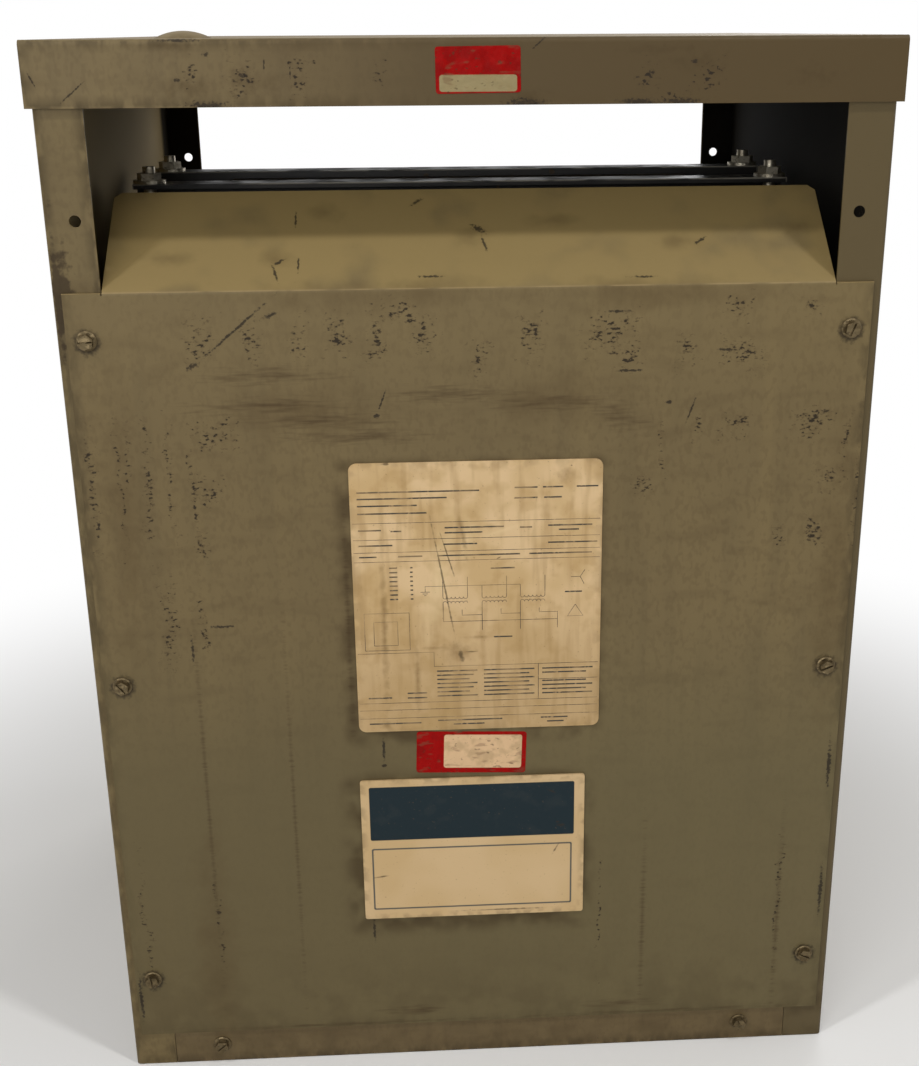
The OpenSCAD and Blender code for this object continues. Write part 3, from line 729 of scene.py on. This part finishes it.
class TRANSFORMER_OT_screws(bpy.types.Operator):
    """Finishes the washer-head screws"""
    bl_idname = "transformer.screws"
    bl_label = "Screws"

    def execute(self, context):
        # Zinc-plated steel, cold headed: dull grey-brown where plating has gone, dirty in the corners.
        for i, node in enumerate(("screws_front", "screws_rear", "screws_lid")):
            finish(start("Zinc-plated steel, " + node.replace("_", " ")), "#6a5c42", 0.42, [
                ((7, 0.4, 0.66, 80 + i), "#4f422a", 0.6, 0.6),
                ((2.2, 0.56, 0.7, 84 + i), "#2a2012", 0.5, 0.8),
                ((2, 0.64, 0.74, 88 + i), "#5a3418", 0.4, 0.85),
            ], (4, 0.1, 0.9, 96 + i, EVEN, 0.0), (node,), Metallic=0.8)
        return {"FINISHED"}


# ---------------- plates

def new_piece(name, mesh):
    """A finished piece that goes with the body."""
    piece = bpy.data.objects.new(name, mesh)
    bpy.context.scene.collection.objects.link(piece)
    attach(piece, "root")


def label_mesh(name, x, z, y, width, height, corner, turn, thickness):
    """A thin plate with round corners and an eased front edge, on the face at y."""
    steps = 8
    outline = []
    for i in range(4):
        cx = (1 if i in (0, 3) else -1) * (width / 2 - corner)
        cz = (1 if i in (0, 1) else -1) * (height / 2 - corner)
        for k in range(steps + 1):
            a = pi / 2 * (i + k / steps)
            outline.append((cx, cz, cos(a), sin(a)))
    ease = 0.35 * thickness
    levels = ((0.0, 0.0), (thickness - ease, 0.0), (thickness, ease))
    points = []
    a = radians(turn)
    for rise, inset in levels:
        for cx, cz, nx, nz in outline:
            u, v = cx + nx * (corner - inset), cz + nz * (corner - inset)
            points.append(((x + u * cos(a) - v * sin(a)) * MM, (y - rise) * MM,
                           (z + u * sin(a) + v * cos(a)) * MM))
    n = len(outline)
    faces = [tuple(range(n - 1, -1, -1)), tuple(2 * n + i for i in range(n))]
    for level in range(len(levels) - 1):
        for i in range(n):
            a, b = level * n + i, level * n + (i + 1) % n
            faces.append((a, b, b + n, a + n))
    mesh = bpy.data.meshes.new(name)
    mesh.from_pydata(points, [], faces)
    return mesh


def field(tree, place, x, z, half_x, half_z, corner, turn=0.0, blur=0.25):
    """One inside a rounded rectangle that is centred on x, z."""
    local = add(tree, "ShaderNodeMapping", {
        "Vector": place, "Location": (x, 0, z), "Rotation": (0, -radians(turn), 0)},
        vector_type="TEXTURE")
    reach = past_box(tree, local, (half_x - corner, 5000, half_z - corner))
    return add(tree, RANGE, {
        "Value": reach, "From Min": corner + blur, "From Max": corner - blur})


def frame_line(tree, place, x, z, half_x, half_z, line):
    """One on a line that runs round a rectangle."""
    outer = field(tree, place, x, z, half_x, half_z, 1.5, blur=0.3)
    inner = field(tree, place, x, z, half_x - line, half_z - line, 1.0, blur=0.3)
    return add(tree, MATH, {0: outer, 1: inner}, operation="SUBTRACT")


def grown(name, data, tree, sizes):
    """Runs a Geometry Nodes tree on a mesh or curve and returns the result as a plain mesh."""
    maker = bpy.data.objects.new(name + "_maker", data)
    bpy.context.scene.collection.objects.link(maker)
    modifier = maker.modifiers.new("shape", "NODES")
    modifier.node_group = tree
    for socket in tree.interface.items_tree:
        if socket.in_out == "INPUT" and socket.name in sizes:
            modifier[socket.identifier] = sizes[socket.name]
    found = bpy.context.evaluated_depsgraph_get()
    mesh = bpy.data.meshes.new_from_object(maker.evaluated_get(found))
    bpy.data.objects.remove(maker)
    if not mesh.polygons:
        raise RuntimeError(name + " came out empty")
    mesh.name = name
    return mesh


def node_group(name, inputs):
    """An empty Geometry Nodes tree with named inputs for its sizes."""
    tree = bpy.data.node_groups.new(name, "GeometryNodeTree")
    tree.interface.new_socket("Geometry", in_out="INPUT", socket_type="NodeSocketGeometry")
    tree.interface.new_socket("Geometry", in_out="OUTPUT", socket_type="NodeSocketGeometry")
    for title, kind in inputs:
        tree.interface.new_socket(title, in_out="INPUT", socket_type="NodeSocket" + kind)
    return tree, add(tree, "NodeGroupInput").outputs


def close_group(tree, geometry, material):
    """Ends a tree with real geometry in its material."""
    real = add(tree, "GeometryNodeRealizeInstances", {0: geometry})
    dressed = add(tree, "GeometryNodeSetMaterial", {0: real, "Material": material})
    add(tree, "NodeGroupOutput", {0: dressed})
    return tree


def arc_line(x, z, r, first, last, steps=8):
    """Points of an arc, from one angle to another in degrees."""
    turns = [radians(first + (last - first) * k / steps) for k in range(steps + 1)]
    return [(x + r * cos(a), z + r * sin(a)) for a in turns]


def box_line(x0, z0, x1, z1):
    """Points round a rectangle."""
    return [(x0, z0), (x1, z0), (x1, z1), (x0, z1), (x0, z0)]


def coil_line(x, z, side):
    """A winding in a plain diagram: six half turns, above the line or below it."""
    line = []
    for k in range(6):
        line += arc_line(x - 7.75 + 3.1 * k, z, 1.55, 180, 180 - 180 * side, 5)
    return line


def plate_lines():
    """Ruled lines, empty boxes and a plain winding diagram, from the middle of the rating plate."""
    lines = [[(-92, z), (92, z)] for z in (62.5, 49.5, 39.5, 32, -84.5, -90.5, -97.5)]
    lines += [[(-92, -42.5), (-34, -42.5), (-34, -54.5), (92, -54.5)], [(46, -54.5), (46, -84.5)],
              [(46, -67.5), (92, -67.5)], box_line(-86, -40, -52, -9.5), box_line(-79, -36, -61, -16.5)]
    for x in (-17, 12.5, 41.5):
        lines += [coil_line(x, 2.5, -1), coil_line(x, -2.5, 1)]
    for x, top, foot in ((-26.3, 18, -17.5), (3.2, 11.5, -25), (32.2, 11.5, -25)):
        lines += [[(x, 2.5), (x, top)], [(x, -2.5), (x, foot)]]
    lines += [[(x, 2.5), (x, 18.5)] for x in (-7.7, 21.8, 50.8)]
    lines += [[(32.2, 11.5), (-39.5, 11.5), (-39.5, 7)], [(-43, 7), (-36, 7)], [(-41.5, 5.6), (-37.5, 5.6)],
              [(-40.3, 4.2), (-38.7, 4.2)], [(-26.3, -17.5), (60.5, -17.5)]]
    lines += [[(-12, -8), (-12, -12.5), (3.2, -12.5)], [(17.5, -8), (17.5, -12), (32.2, -12)],
              [(46.5, -8), (46.5, -11.5), (60.5, -11.5), (60.5, -24.5)]]
    lines += [[(70.5, 16.5), (77.5, 16.5), (81, 22)], [(77.5, 16.5), (80.5, 10.5)],
              [(74, -6), (68, -15.5), (80, -15.5), (74, -6)]]
    return lines


def plate_entries():
    """Heavier ruled lines where a plate has its entries, all left empty."""
    rows = ((86.5, -88, 2), (81.5, -88, -22), (76, -88, -44), (70, -88, -37), (88, 28, 45), (88, 49, 64),
            (88, 74, 90), (80, 28, 45), (80, 50, 63), (57, -88, -71), (56, -64, -56), (58, -24, 20),
            (54, -24, 4), (57, 32, 41), (58, 53, 86), (54.5, 61, 76), (45, -88, -63), (45, -25, 0),
            (44.5, 53, 90), (36, -88, -75), (36, -59, -41), (36, -30, 32), (36, 39, 86), (25, 10, 28),
            (-31, 12, 26), (4.5, 66, 79), (-80, -85, -67), (-76.5, -55, -40), (-80.5, -55, -40),
            (-102, -85, -45), (-100.5, -32, 18), (-104, -20, 4), (-100.5, 48, 69), (-104, 53, 66))
    lines = [[(x0, z), (x1, z)] for z, x0, x1 in rows]
    for k in range(8):
        z = 27 - 3.6 * k
        lines += [[(-66, z), (-60, z)], [(-50.5, z), (-48.5, z)]]
    for k in range(7):
        z = -58.5 - 3.5 * k
        lines += [[(-32, z), (-1 - 3 * (k % 3), z)], [(4, z), (43 - 4 * (k % 2), z)]]
        lines += [[(49, z), (88 - 5 * (k % 2), z)]] if k != 2 else []
    return lines


def printed_lines(name, lines, middle, line_width, material):
    """Ink lines that follow their paths on the face of a plate."""
    data = bpy.data.curves.new(name, "CURVE")
    data.dimensions = "3D"
    for line in lines:
        spline = data.splines.new("POLY")
        spline.points.add(len(line) - 1)
        for point, (x, z) in zip(spline.points, line):
            point.co = (x * MM, 0, z * MM, 1)
    tree, sizes = node_group(name, (("Line width", "Float"), ("Film", "Float"), ("Middle", "Vector")))
    ring = add(tree, "GeometryNodeCurvePrimitiveCircle", {"Resolution": 6, "Radius": 1.0})
    half = add(tree, MATH, {0: sizes["Line width"], 1: 0.5}, operation="MULTIPLY")
    sized = add(tree, "GeometryNodeTransform",
                {0: ring, "Scale": add(tree, "ShaderNodeCombineXYZ", {0: half, 1: half, 2: half})})
    drawn = add(tree, "GeometryNodeCurveToMesh", {0: sizes["Geometry"], 1: sized, "Fill Caps": True})
    flat = add(tree, MATH, {0: sizes["Film"], 1: sizes["Line width"]}, operation="DIVIDE")
    pressed = add(tree, "GeometryNodeTransform",
                  {0: drawn, "Translation": sizes["Middle"],
                   "Scale": add(tree, "ShaderNodeCombineXYZ", {0: 1.0, 1: flat, 2: 1.0})})
    close_group(tree, pressed, material)
    film = 0.12 * MM
    return grown(name, data, tree, {"Line width": line_width, "Film": film, "Middle": middle * MM})


# Marks on the plates: half length, half height and turn, then x and z of each.
FILM_PALE = {
    (9, 30, -10): [(-8, 462)], (12, 66, -10): [(-29, 432)], (26, 3, 18): [(20, 470)],
}
FILM_STAINS = {
    (3, 26, 10): [(-11, 468)], (3.4, 46, 0): [(-47, 350)], (4.0, 92, 0): [(-71, 392)],
    (8, 5, 0): [(-72, 312)], (10, 9, 0): [(66, 512)], (14, 2.4, 0): [(-34, 376)], (16, 2.4, 0): [(0, 384)],
    (17, 12, 0): [(-16, 372)],
}
FILM_DARK = {
    (0.8, 22, 16): [(-22, 450)], (1.0, 66, 10): [(-26, 432)], (1.2, 1.0, 0): [(70, 519)],
    (2.6, 6, 10): [(-13, 369)], (3, 0.8, 25): [(16, 448)], (4, 1.4, 0): [(-66, 523)],
    (7, 1.0, 0): [(-5, 372)],
}
NOTICE_DARK = {
    (2, 1.2, 0): [(62, 221)], (4, 2.0, 0): [(64, 218)], (5, 1.3, -30): [(57, 249)],
    (7, 1.0, 60): [(60, 196)], (9, 1.0, 8): [(-80, 176)], (40, 1.0, 0): [(20, 141)],
}


def vinyl(title, blank, low, seed):
    """Vinyl label, printed red round a cream field: thin, satin, scuffed to the edge."""
    return finish(start("Printed vinyl, " + title), "#930402", 0.5, [
        ((12, 0.42, 0.66, seed), "#780604", 0.6),
        ((3, 0.6, 0.72, seed + 1), "#8a2218", 0.2),
        (blank, low, 1.0, 0.42),
        ([blank, (10, 0.46, 0.66, seed + 2)], "#8d7a54", 0.35),
        ((spots_of_dirt, seed + 3, 0.62, 2.2), "#3f2f1f", 0.55, 0.6),
        ((5, 0.58, 0.68, seed + 4, (3, 1, 1)), "#6a4a36", 0.4, 0.6),
    ], (14, 0.2, 0.8, seed + 5), IOR=1.5, **{"Specular IOR Level": 0.08})


class TRANSFORMER_OT_plates(bpy.types.Operator):
    """Makes the blank rating plate, notice plate, red label and lid sticker"""
    bl_idname = "transformer.plates"
    bl_label = "Plates and labels"

    def execute(self, context):
        plates = context.scene.transformer_plates

        # Printed polyester film on thin sheet: smooth and satin, yellowed, creased and stained.
        finish(start("Printed polyester film, rating plate"), plates.film, 0.38, [
            ((46, 0.4, 0.64, 101), "#b3935f", 0.6),
            ((14, 0.48, 0.68, 102), "#a5844f", 0.34, 0.5),
            ((7, 0.48, 0.72, 103, (1, 1, 9)), "#99794a", 0.36),
            ((ramp, 2, 440, 330), "#9a7c4d", 0.52),
            (laid(FILM_PALE, 104, soft=1.3, grain=12.0), "#dcc294", 0.6),
            (laid(FILM_STAINS, 105, soft=1.3), "#7b5f35", 0.72, 0.5),
            (laid(FILM_DARK, 106, soft=0.8, grain=4.0), "#4b3b22", 0.75, 0.6, -0.02),
            ((spots_of_dirt, 107, 0.5, 1.8, EVEN), "#6b5433", 0.45, 0.6),
            ([(edges, "rating_plate", 9), (12, 0.44, 0.6, 108)], "#7d6540", 0.32, 0.6),
        ], (60, 0.1, 0.9, 109), ("rating_plate",), **SATIN)

        # Screen-printing ink: matt, dark grey-brown, worn thin in places.
        ink = finish(start("Screen-printed ink, worn"), plates.ink, 0.6, [
            ((22, 0.45, 0.62, 111), "#9a8058", 0.7),
            ((3, 0.55, 0.7, 112), "#b0946a", 0.6)])
        middle = corners("rating_plate")[0]
        middle.y = front("rating_plate")
        for name, lines, width in (("rating_rules", plate_lines(), plates.line),
                                   ("rating_entries", plate_entries(), plates.entry)):
            new_piece(name, printed_lines(name, lines, middle, width, ink))

        # Rigid plastic sign, flat sheet with a printed band: off-white, smooth, greyed by handling.
        band = (field, -6.5, 233.5, 81.5, 24, 1.5)
        finish(start("Rigid plastic sheet, notice plate"), "#c8ab80", 0.34, [
            ((60, 0.4, 0.66, 121), "#b99a68", 0.5),
            (band, "#071d24", 1.0, 0.4),
            ((frame_line, -7, 173.5, 80.5, 28.5, 1.3), "#2c3a40", 0.9, 0.4),
            ([band, (12, 0.52, 0.7, 122)], "#2a3030", 0.25, 0.5),
            ((spots_of_dirt, 124, 0.48, 1.8, EVEN), "#6d5836", 0.45, 0.6),
            (laid(NOTICE_DARK, 125, soft=0.8, grain=4.0), "#2b2115", 0.7, 0.6),
            ([(edges, "notice_plate", 6), (11, 0.42, 0.58, 126)], "#7d6744", 0.5, 0.6),
        ], (80, 0.0, 1.0, 127), ("notice_plate",), **SATIN)

        # Each vinyl label: name, middle and face, size, round corner, turn and thickness, then its
        # blank field from the middle, the field's tilt and colour, and the seed.
        for name, x, z, y, width, height, corner, turn, thickness, blank, tilt, low, seed in (
                ("red_label", -6.5, 285.5, FACE, plates.label_width, plates.label_height,
                 2.5, -2.0, 0.35, (9.0, 0.5, 30.5, 14.5), -2.0, "#d2b088", 131),
                ("lid_sticker", 4.5, 795.5, front("lid"), plates.sticker_width, plates.sticker_height,
                 2.0, 0.6, 0.3, (0.0, -8.6, 26.0, 5.4), 0.0, "#928460", 141)):
            mesh = label_mesh(name, x, z, y, width / MM, height / MM, corner, turn, thickness)
            area = (field, x + blank[0], z + blank[1], blank[2], blank[3], 2.0, tilt)
            mesh.materials.append(vinyl(name.replace("_", " "), area, low, seed))
            new_piece(name, mesh)
        return {"FINISHED"}


# ---------------- inside

def sheet_lines(tree, place):
    """Fine lines across the stack of laminations, drawn 1.2 mm apart so that they show."""
    fine = add(tree, "ShaderNodeTexNoise", {
        "Vector": add(tree, "ShaderNodeMapping", {"Vector": place, "Scale": (0.004, 0.8, 0.004)}),
        "Scale": 1.0, "Detail": 2.0})
    return add(tree, RANGE, {"Value": fine, "From Min": 0.38, "From Max": 0.62})


def turns_of_wrap(tree, place, pitch):
    """A wave up the height, one for each turn."""
    height = add(tree, "ShaderNodeSeparateXYZ", {0: place}).outputs[2]
    return chain(tree, MATH, height, ("MULTIPLY", 2 * pi / pitch), ("SINE",))


class TRANSFORMER_OT_core_and_coils(bpy.types.Operator):
    """Finishes the laminated core, the windings and their spacers"""
    bl_idname = "transformer.core_and_coils"
    bl_label = "Core and coils"

    def execute(self, context):
        # Silicon-steel laminations, stacked and varnished: grey-brown, satin, lined across the stack.
        finish(start("Varnished silicon-steel laminations"), "#4b443a", 0.42, [
            (sheet_lines, "#2b2621", 0.7, 0.55, 0.15),
            ((60, 0.42, 0.62, 151), "#5b4a33", 0.5, 0.35),
            ((8, 0.58, 0.7, 152), "#6b4123", 0.6, 0.8, 0.03),
            dust(25, 153, 0.55),
        ], None, ("core",), Metallic=0.35)

        # Varnished paper and glass wrap, wound and dipped: dark amber gloss over turns 4 or 7 mm apart.
        for kind, tone, pitch, seed in (("outer", "#45301c", 4.0, 161), ("inner", "#54371e", 7.0, 171)):
            nodes = [f"{kind}_winding_{side}" for side in ("left", "middle", "right")]
            finish(start(f"Varnished glass and paper wrap, {kind} coils"), tone, 0.3, [
                ((45, 0.42, 0.64, seed), "#2a170c", 0.6, 0.22, 0.1),
                ((16, 0.48, 0.7, seed + 1, (1, 1, 5)), "#6a4322", 0.5, 0.35),
                ((turns_of_wrap, pitch), "#1f130b", 0.3, None, 0.25),
                ((5, 0.58, 0.72, seed + 2), "#8a6a44", 0.35, 0.6),
                dust(14, seed + 3, 0.5),
            ], [(9, 0.2, 0.8, seed + 4), 0.4], nodes, IOR=1.55)

        # Pultruded glass laminate: straw-coloured, fibres along the stick, glazed with varnish.
        finish(start("Pultruded glass laminate, duct sticks"), "#b08f57", 0.35, [
            ((1.2, 0.42, 0.62, 181, (1, 1, 30)), "#8a6a38", 0.6, 0.45, 0.05),
            ((30, 0.5, 0.7, 182), "#6d4c26", 0.5),
        ], None, ("duct_sticks",), IOR=1.52)

        # Maple blocks, sawn and varnished: brown figure along x, darker end grain and drips.
        finish(start("Varnished maple, sawn blocks"), "#93693c", 0.42, [
            ((2.4, 0.4, 0.62, 191, (14, 1, 1), 5.0), "#6e4a26", 0.65, 0.5, 0.06),
            ((20, 0.48, 0.68, 192, (4, 1, 1)), "#5a3a1e", 0.5, 0.35),
            dust(16, 193, 0.4),
        ], None, ("coil_blocks",), IOR=1.5)
        return {"FINISHED"}


def stack_group(name, stack, material):
    """One stack of discs on each point, sized by the width and thickness of what it stands for.

    Each disc has its sides, its radius as a share of the width, its depth in mm or None for the
    thickness, and the height of its middle as a share of the thickness and mm more.
    """
    tree, sizes = node_group(name, (("Width", "Float"), ("Thickness", "Float"), ("Rotation", "Vector")))
    joined = add(tree, "GeometryNodeJoinGeometry")
    for sides, share, depth, part, more in stack:
        radius = add(tree, MATH, {0: sizes["Width"], 1: share}, operation="MULTIPLY")
        middle = add(tree, MATH, {0: sizes["Thickness"], 1: part, 2: more * MM}, operation="MULTIPLY_ADD")
        disc = add(tree, "GeometryNodeMeshCylinder", {
            "Vertices": sides, "Radius": radius, "Depth": depth * MM if depth else sizes["Thickness"]})
        raised = add(tree, "GeometryNodeTransform", {
            0: disc, "Translation": add(tree, "ShaderNodeCombineXYZ", {2: middle})})
        tree.links.new(raised.outputs[0], joined.inputs[0])
    each = add(tree, "GeometryNodeInstanceOnPoints", {
        "Points": sizes["Geometry"], "Instance": joined, "Rotation": sizes["Rotation"]})
    return close_group(tree, each, material)


def plated(title, seed, *nodes):
    """Zinc-plated steel, turned or headed: grey and satin, dull with dust and varnish."""
    return finish(start(title), "#c4bca8", 0.34, [
        ((9, 0.46, 0.66, seed), "#7b6f58", 0.55, 0.5),
        ((3, 0.58, 0.7, seed + 1), "#3b3022", 0.55, 0.75),
        dust(6, seed + 2, 0.6),
    ], [(1.5, 0.2, 0.8, seed + 3), 0.05], nodes, Metallic=0.9)


def fastened(name, points, stack, material, width, thickness, rotation=(0, 0, 0)):
    """A piece with one washer or bolt on each point, in millimetres."""
    mesh = bpy.data.meshes.new(name + "_points")
    mesh.from_pydata([Vector(point) * MM for point in points], [], [])
    sizes = {"Width": width, "Thickness": thickness, "Rotation": rotation}
    new_piece(name, grown(name, mesh, stack_group(name, stack, material), sizes))


# A flat washer, and a hex bolt from its own washer up to the chamfered top of its head.
WASHER = ((28, 0.5, None, 0, 0),)
BOLT = ((24, 0.8, 1.8, 0, 0.9), (6, 0.577, None, 0.5, 1.8), (24, 0.48, 0.6, 1, 1.8))
# Where the washers and bolts sit, in millimetres: the tie rods, the outer faces of the clamps and
# their bolts, the feet of the stand, and the front of the terminal bars.
ROD_X, ROD_Y = 256, 53
CLAMP_BOLT_X, CLAMP_BOLT_Y, CLAMP_BOLT_LEVELS = 222, 45.2, (265, 679)
FOOT_X, FOOT_Y, FOOT_TOP = 225, 59, 46.0
BAR_XS, BAR_FRONT, BAR_LEVELS = range(-165, 166, 55), -79.0, (240, 272)
# Half a washer of the rods, pressed 0.05 mm into the clamp.
WASHER_LIFT = 1.2
FRONTWARD = (pi / 2, 0, 0)
BOLT_HEAD = 6 * MM


class TRANSFORMER_OT_clamp_steel(bpy.types.Operator):
    """Finishes the clamps and the stand, and adds their washers and bolts"""
    bl_idname = "transformer.clamp_steel"
    bl_label = "Clamps and stand"

    def execute(self, context):
        hardware = context.scene.transformer_hardware
        # Black alkyd paint on hot-rolled steel: semi-gloss over mill scale, dusty on top.
        for i, node in enumerate(("clamp_top_front", "clamp_top_rear", "clamp_bottom_front",
                                  "clamp_bottom_rear", "stand_front_left", "stand_front_right",
                                  "stand_rear_left", "stand_rear_right")):
            seed = 200 + 5 * i
            finish(start("Black alkyd paint, " + node.replace("_", " ")), "#16130f", 0.34, [
                ((40, 0.42, 0.64, seed), "#221d16", 0.6, 0.45),
                ((flecks, 7, 0.5, seed + 1, 60), "#4d3a22", 0.7, 0.8),
                ([upward, (30, 0.4, 0.66, seed + 2)], "#6f6450", 0.45, 0.85),
                # Painted highlight: pale paint along the edges, where the top edge catches the light from
                # behind.
                ([(edges, node, 1.4), (40, 0.36, 0.52, seed + 3)], "#cfc6b2", 0.85, 0.35),
            ], [(9, 0.1, 0.9, seed + 4), 0.06], (node,), IOR=1.5)

        for i, node in enumerate(("clamp_bolts", "tie_rods")):
            plated("Zinc-plated steel, " + node.replace("_", " "), 240 + 5 * i, node)

        # Moulded nitrile rubber: matt black, greyed by dust.
        finish(start("Moulded nitrile rubber, isolators"), "#1d1c1b", 0.8, [
            ((8, 0.45, 0.65, 251), "#3a3733", 0.55, 0.9, 0.03),
            ([upward, (8, 0.3, 0.6, 252)], "#7b705b", 0.6, 0.95),
        ], [(2.5, 0.2, 0.8, 253), 0.05], ("isolators",), IOR=1.5)

        low, high = corners("clamp_bottom_front"), corners("clamp_top_front")
        levels = (high[0].z + high[1].z + WASHER_LIFT, low[0].z - low[1].z - WASHER_LIFT)
        ends = [(x, y, z) for x in (-ROD_X, ROD_X) for y in (-ROD_Y, ROD_Y) for z in levels]
        sides = [(x, y, z) for x in (-CLAMP_BOLT_X, CLAMP_BOLT_X) for z in CLAMP_BOLT_LEVELS
                 for y in (-CLAMP_BOLT_Y, CLAMP_BOLT_Y)]
        feet = [(x, y, FOOT_TOP) for x in (-FOOT_X, FOOT_X) for y in (-FOOT_Y, FOOT_Y)]
        steel = plated("Zinc-plated washers, pressed", 261)
        washer = hardware.washer, hardware.washer_thickness
        fastened("rod_washers", ends, WASHER, steel, *washer)
        fastened("bolt_washers", sides, WASHER, steel, *washer, FRONTWARD)
        steel = plated("Zinc-plated bolts, cold headed", 266)
        fastened("stand_bolts", feet, BOLT, steel, hardware.bolt, BOLT_HEAD)
        return {"FINISHED"}


class TRANSFORMER_OT_terminals(bpy.types.Operator):
    """Finishes the terminal board and its bars, and adds their bolts"""
    bl_idname = "transformer.terminals"
    bl_label = "Terminals"

    def execute(self, context):
        # Red-brown glass-polyester sheet, hot pressed: matt, with a faint fibre mat.
        finish(start("Glass-polyester sheet, terminal board"), "#7a4030", 0.55, [
            ((5, 0.42, 0.62, 271, (3, 1, 1)), "#8c5140", 0.5, None, 0.03),
            ((4, 0.46, 0.66, 272, (1, 1, 3)), "#652f22", 0.5, None, 0.03),
            ((30, 0.5, 0.7, 273), "#5d4a3a", 0.4, 0.7),
        ], None, ("terminal_board",), IOR=1.52)

        # Tin-plated aluminium bar, sheared and punched: pale grey, fine lines along the bar.
        for i, node in enumerate(("load_terminals", "line_terminals")):
            seed = 280 + 5 * i
            finish(start("Tin-plated aluminium, " + node.replace("_", " ")), "#b9b7b0", 0.32, [
                ((1.2, 0.42, 0.62, seed, (1, 1, 40)), "#98958d", 0.5, 0.42, 0.02),
                ((18, 0.48, 0.68, seed + 1), "#8b857a", 0.5, 0.5),
                ((flecks, 6, 0.4, seed + 2, 30), "#5d5547", 0.6, 0.7),
            ], None, (node,), Metallic=1.0)

        heads = [(x, BAR_FRONT, z) for x in BAR_XS for z in BAR_LEVELS]
        steel = plated("Zinc-plated terminal bolts, cold headed", 291)
        bolt = context.scene.transformer_hardware.bolt
        fastened("terminal_bolts", heads, BOLT, steel, bolt, BOLT_HEAD, FRONTWARD)
        return {"FINISHED"}


# ---------------- panel

OPERATORS = (
    TRANSFORMER_OT_stage, TRANSFORMER_OT_enclosure, TRANSFORMER_OT_covers, TRANSFORMER_OT_screws,
    TRANSFORMER_OT_plates, TRANSFORMER_OT_core_and_coils, TRANSFORMER_OT_clamp_steel,
    TRANSFORMER_OT_terminals,
)
SETTINGS = {
    "transformer_paint": PaintSettings, "transformer_plates": PlateSettings,
    "transformer_hardware": HardwareSettings, "transformer_studio": StudioSettings,
}


class TRANSFORMER_PT_panel(bpy.types.Panel):
    """Lists the transformer's pieces and their sizes and colours"""
    bl_idname = "TRANSFORMER_PT_panel"
    bl_label = "Dry-Type Transformer"
    bl_space_type = "VIEW_3D"
    bl_region_type = "UI"
    bl_category = "Transformer"

    def draw(self, context):
        for name, settings in SETTINGS.items():
            group = getattr(context.scene, name)
            box = self.layout.box()
            for entry in settings.__annotations__:
                box.prop(group, entry)
        for operator in OPERATORS:
            self.layout.operator(operator.bl_idname)


def register():
    """Adds the settings, the operators and the panel."""
    for entry in (*SETTINGS.values(), *OPERATORS, TRANSFORMER_PT_panel):
        bpy.utils.register_class(entry)
    for name, settings in SETTINGS.items():
        setattr(bpy.types.Scene, name, PointerProperty(type=settings))


def unregister():
    """Takes them away again."""
    for name in SETTINGS:
        delattr(bpy.types.Scene, name)
    for entry in reversed((*SETTINGS.values(), *OPERATORS, TRANSFORMER_PT_panel)):
        bpy.utils.unregister_class(entry)


def main():
    """Runs every operator in order."""
    register()
    for operator in OPERATORS:
        group, name = operator.bl_idname.split(".")
        getattr(getattr(bpy.ops, group), name)()


if __name__ == "__main__":
    main()
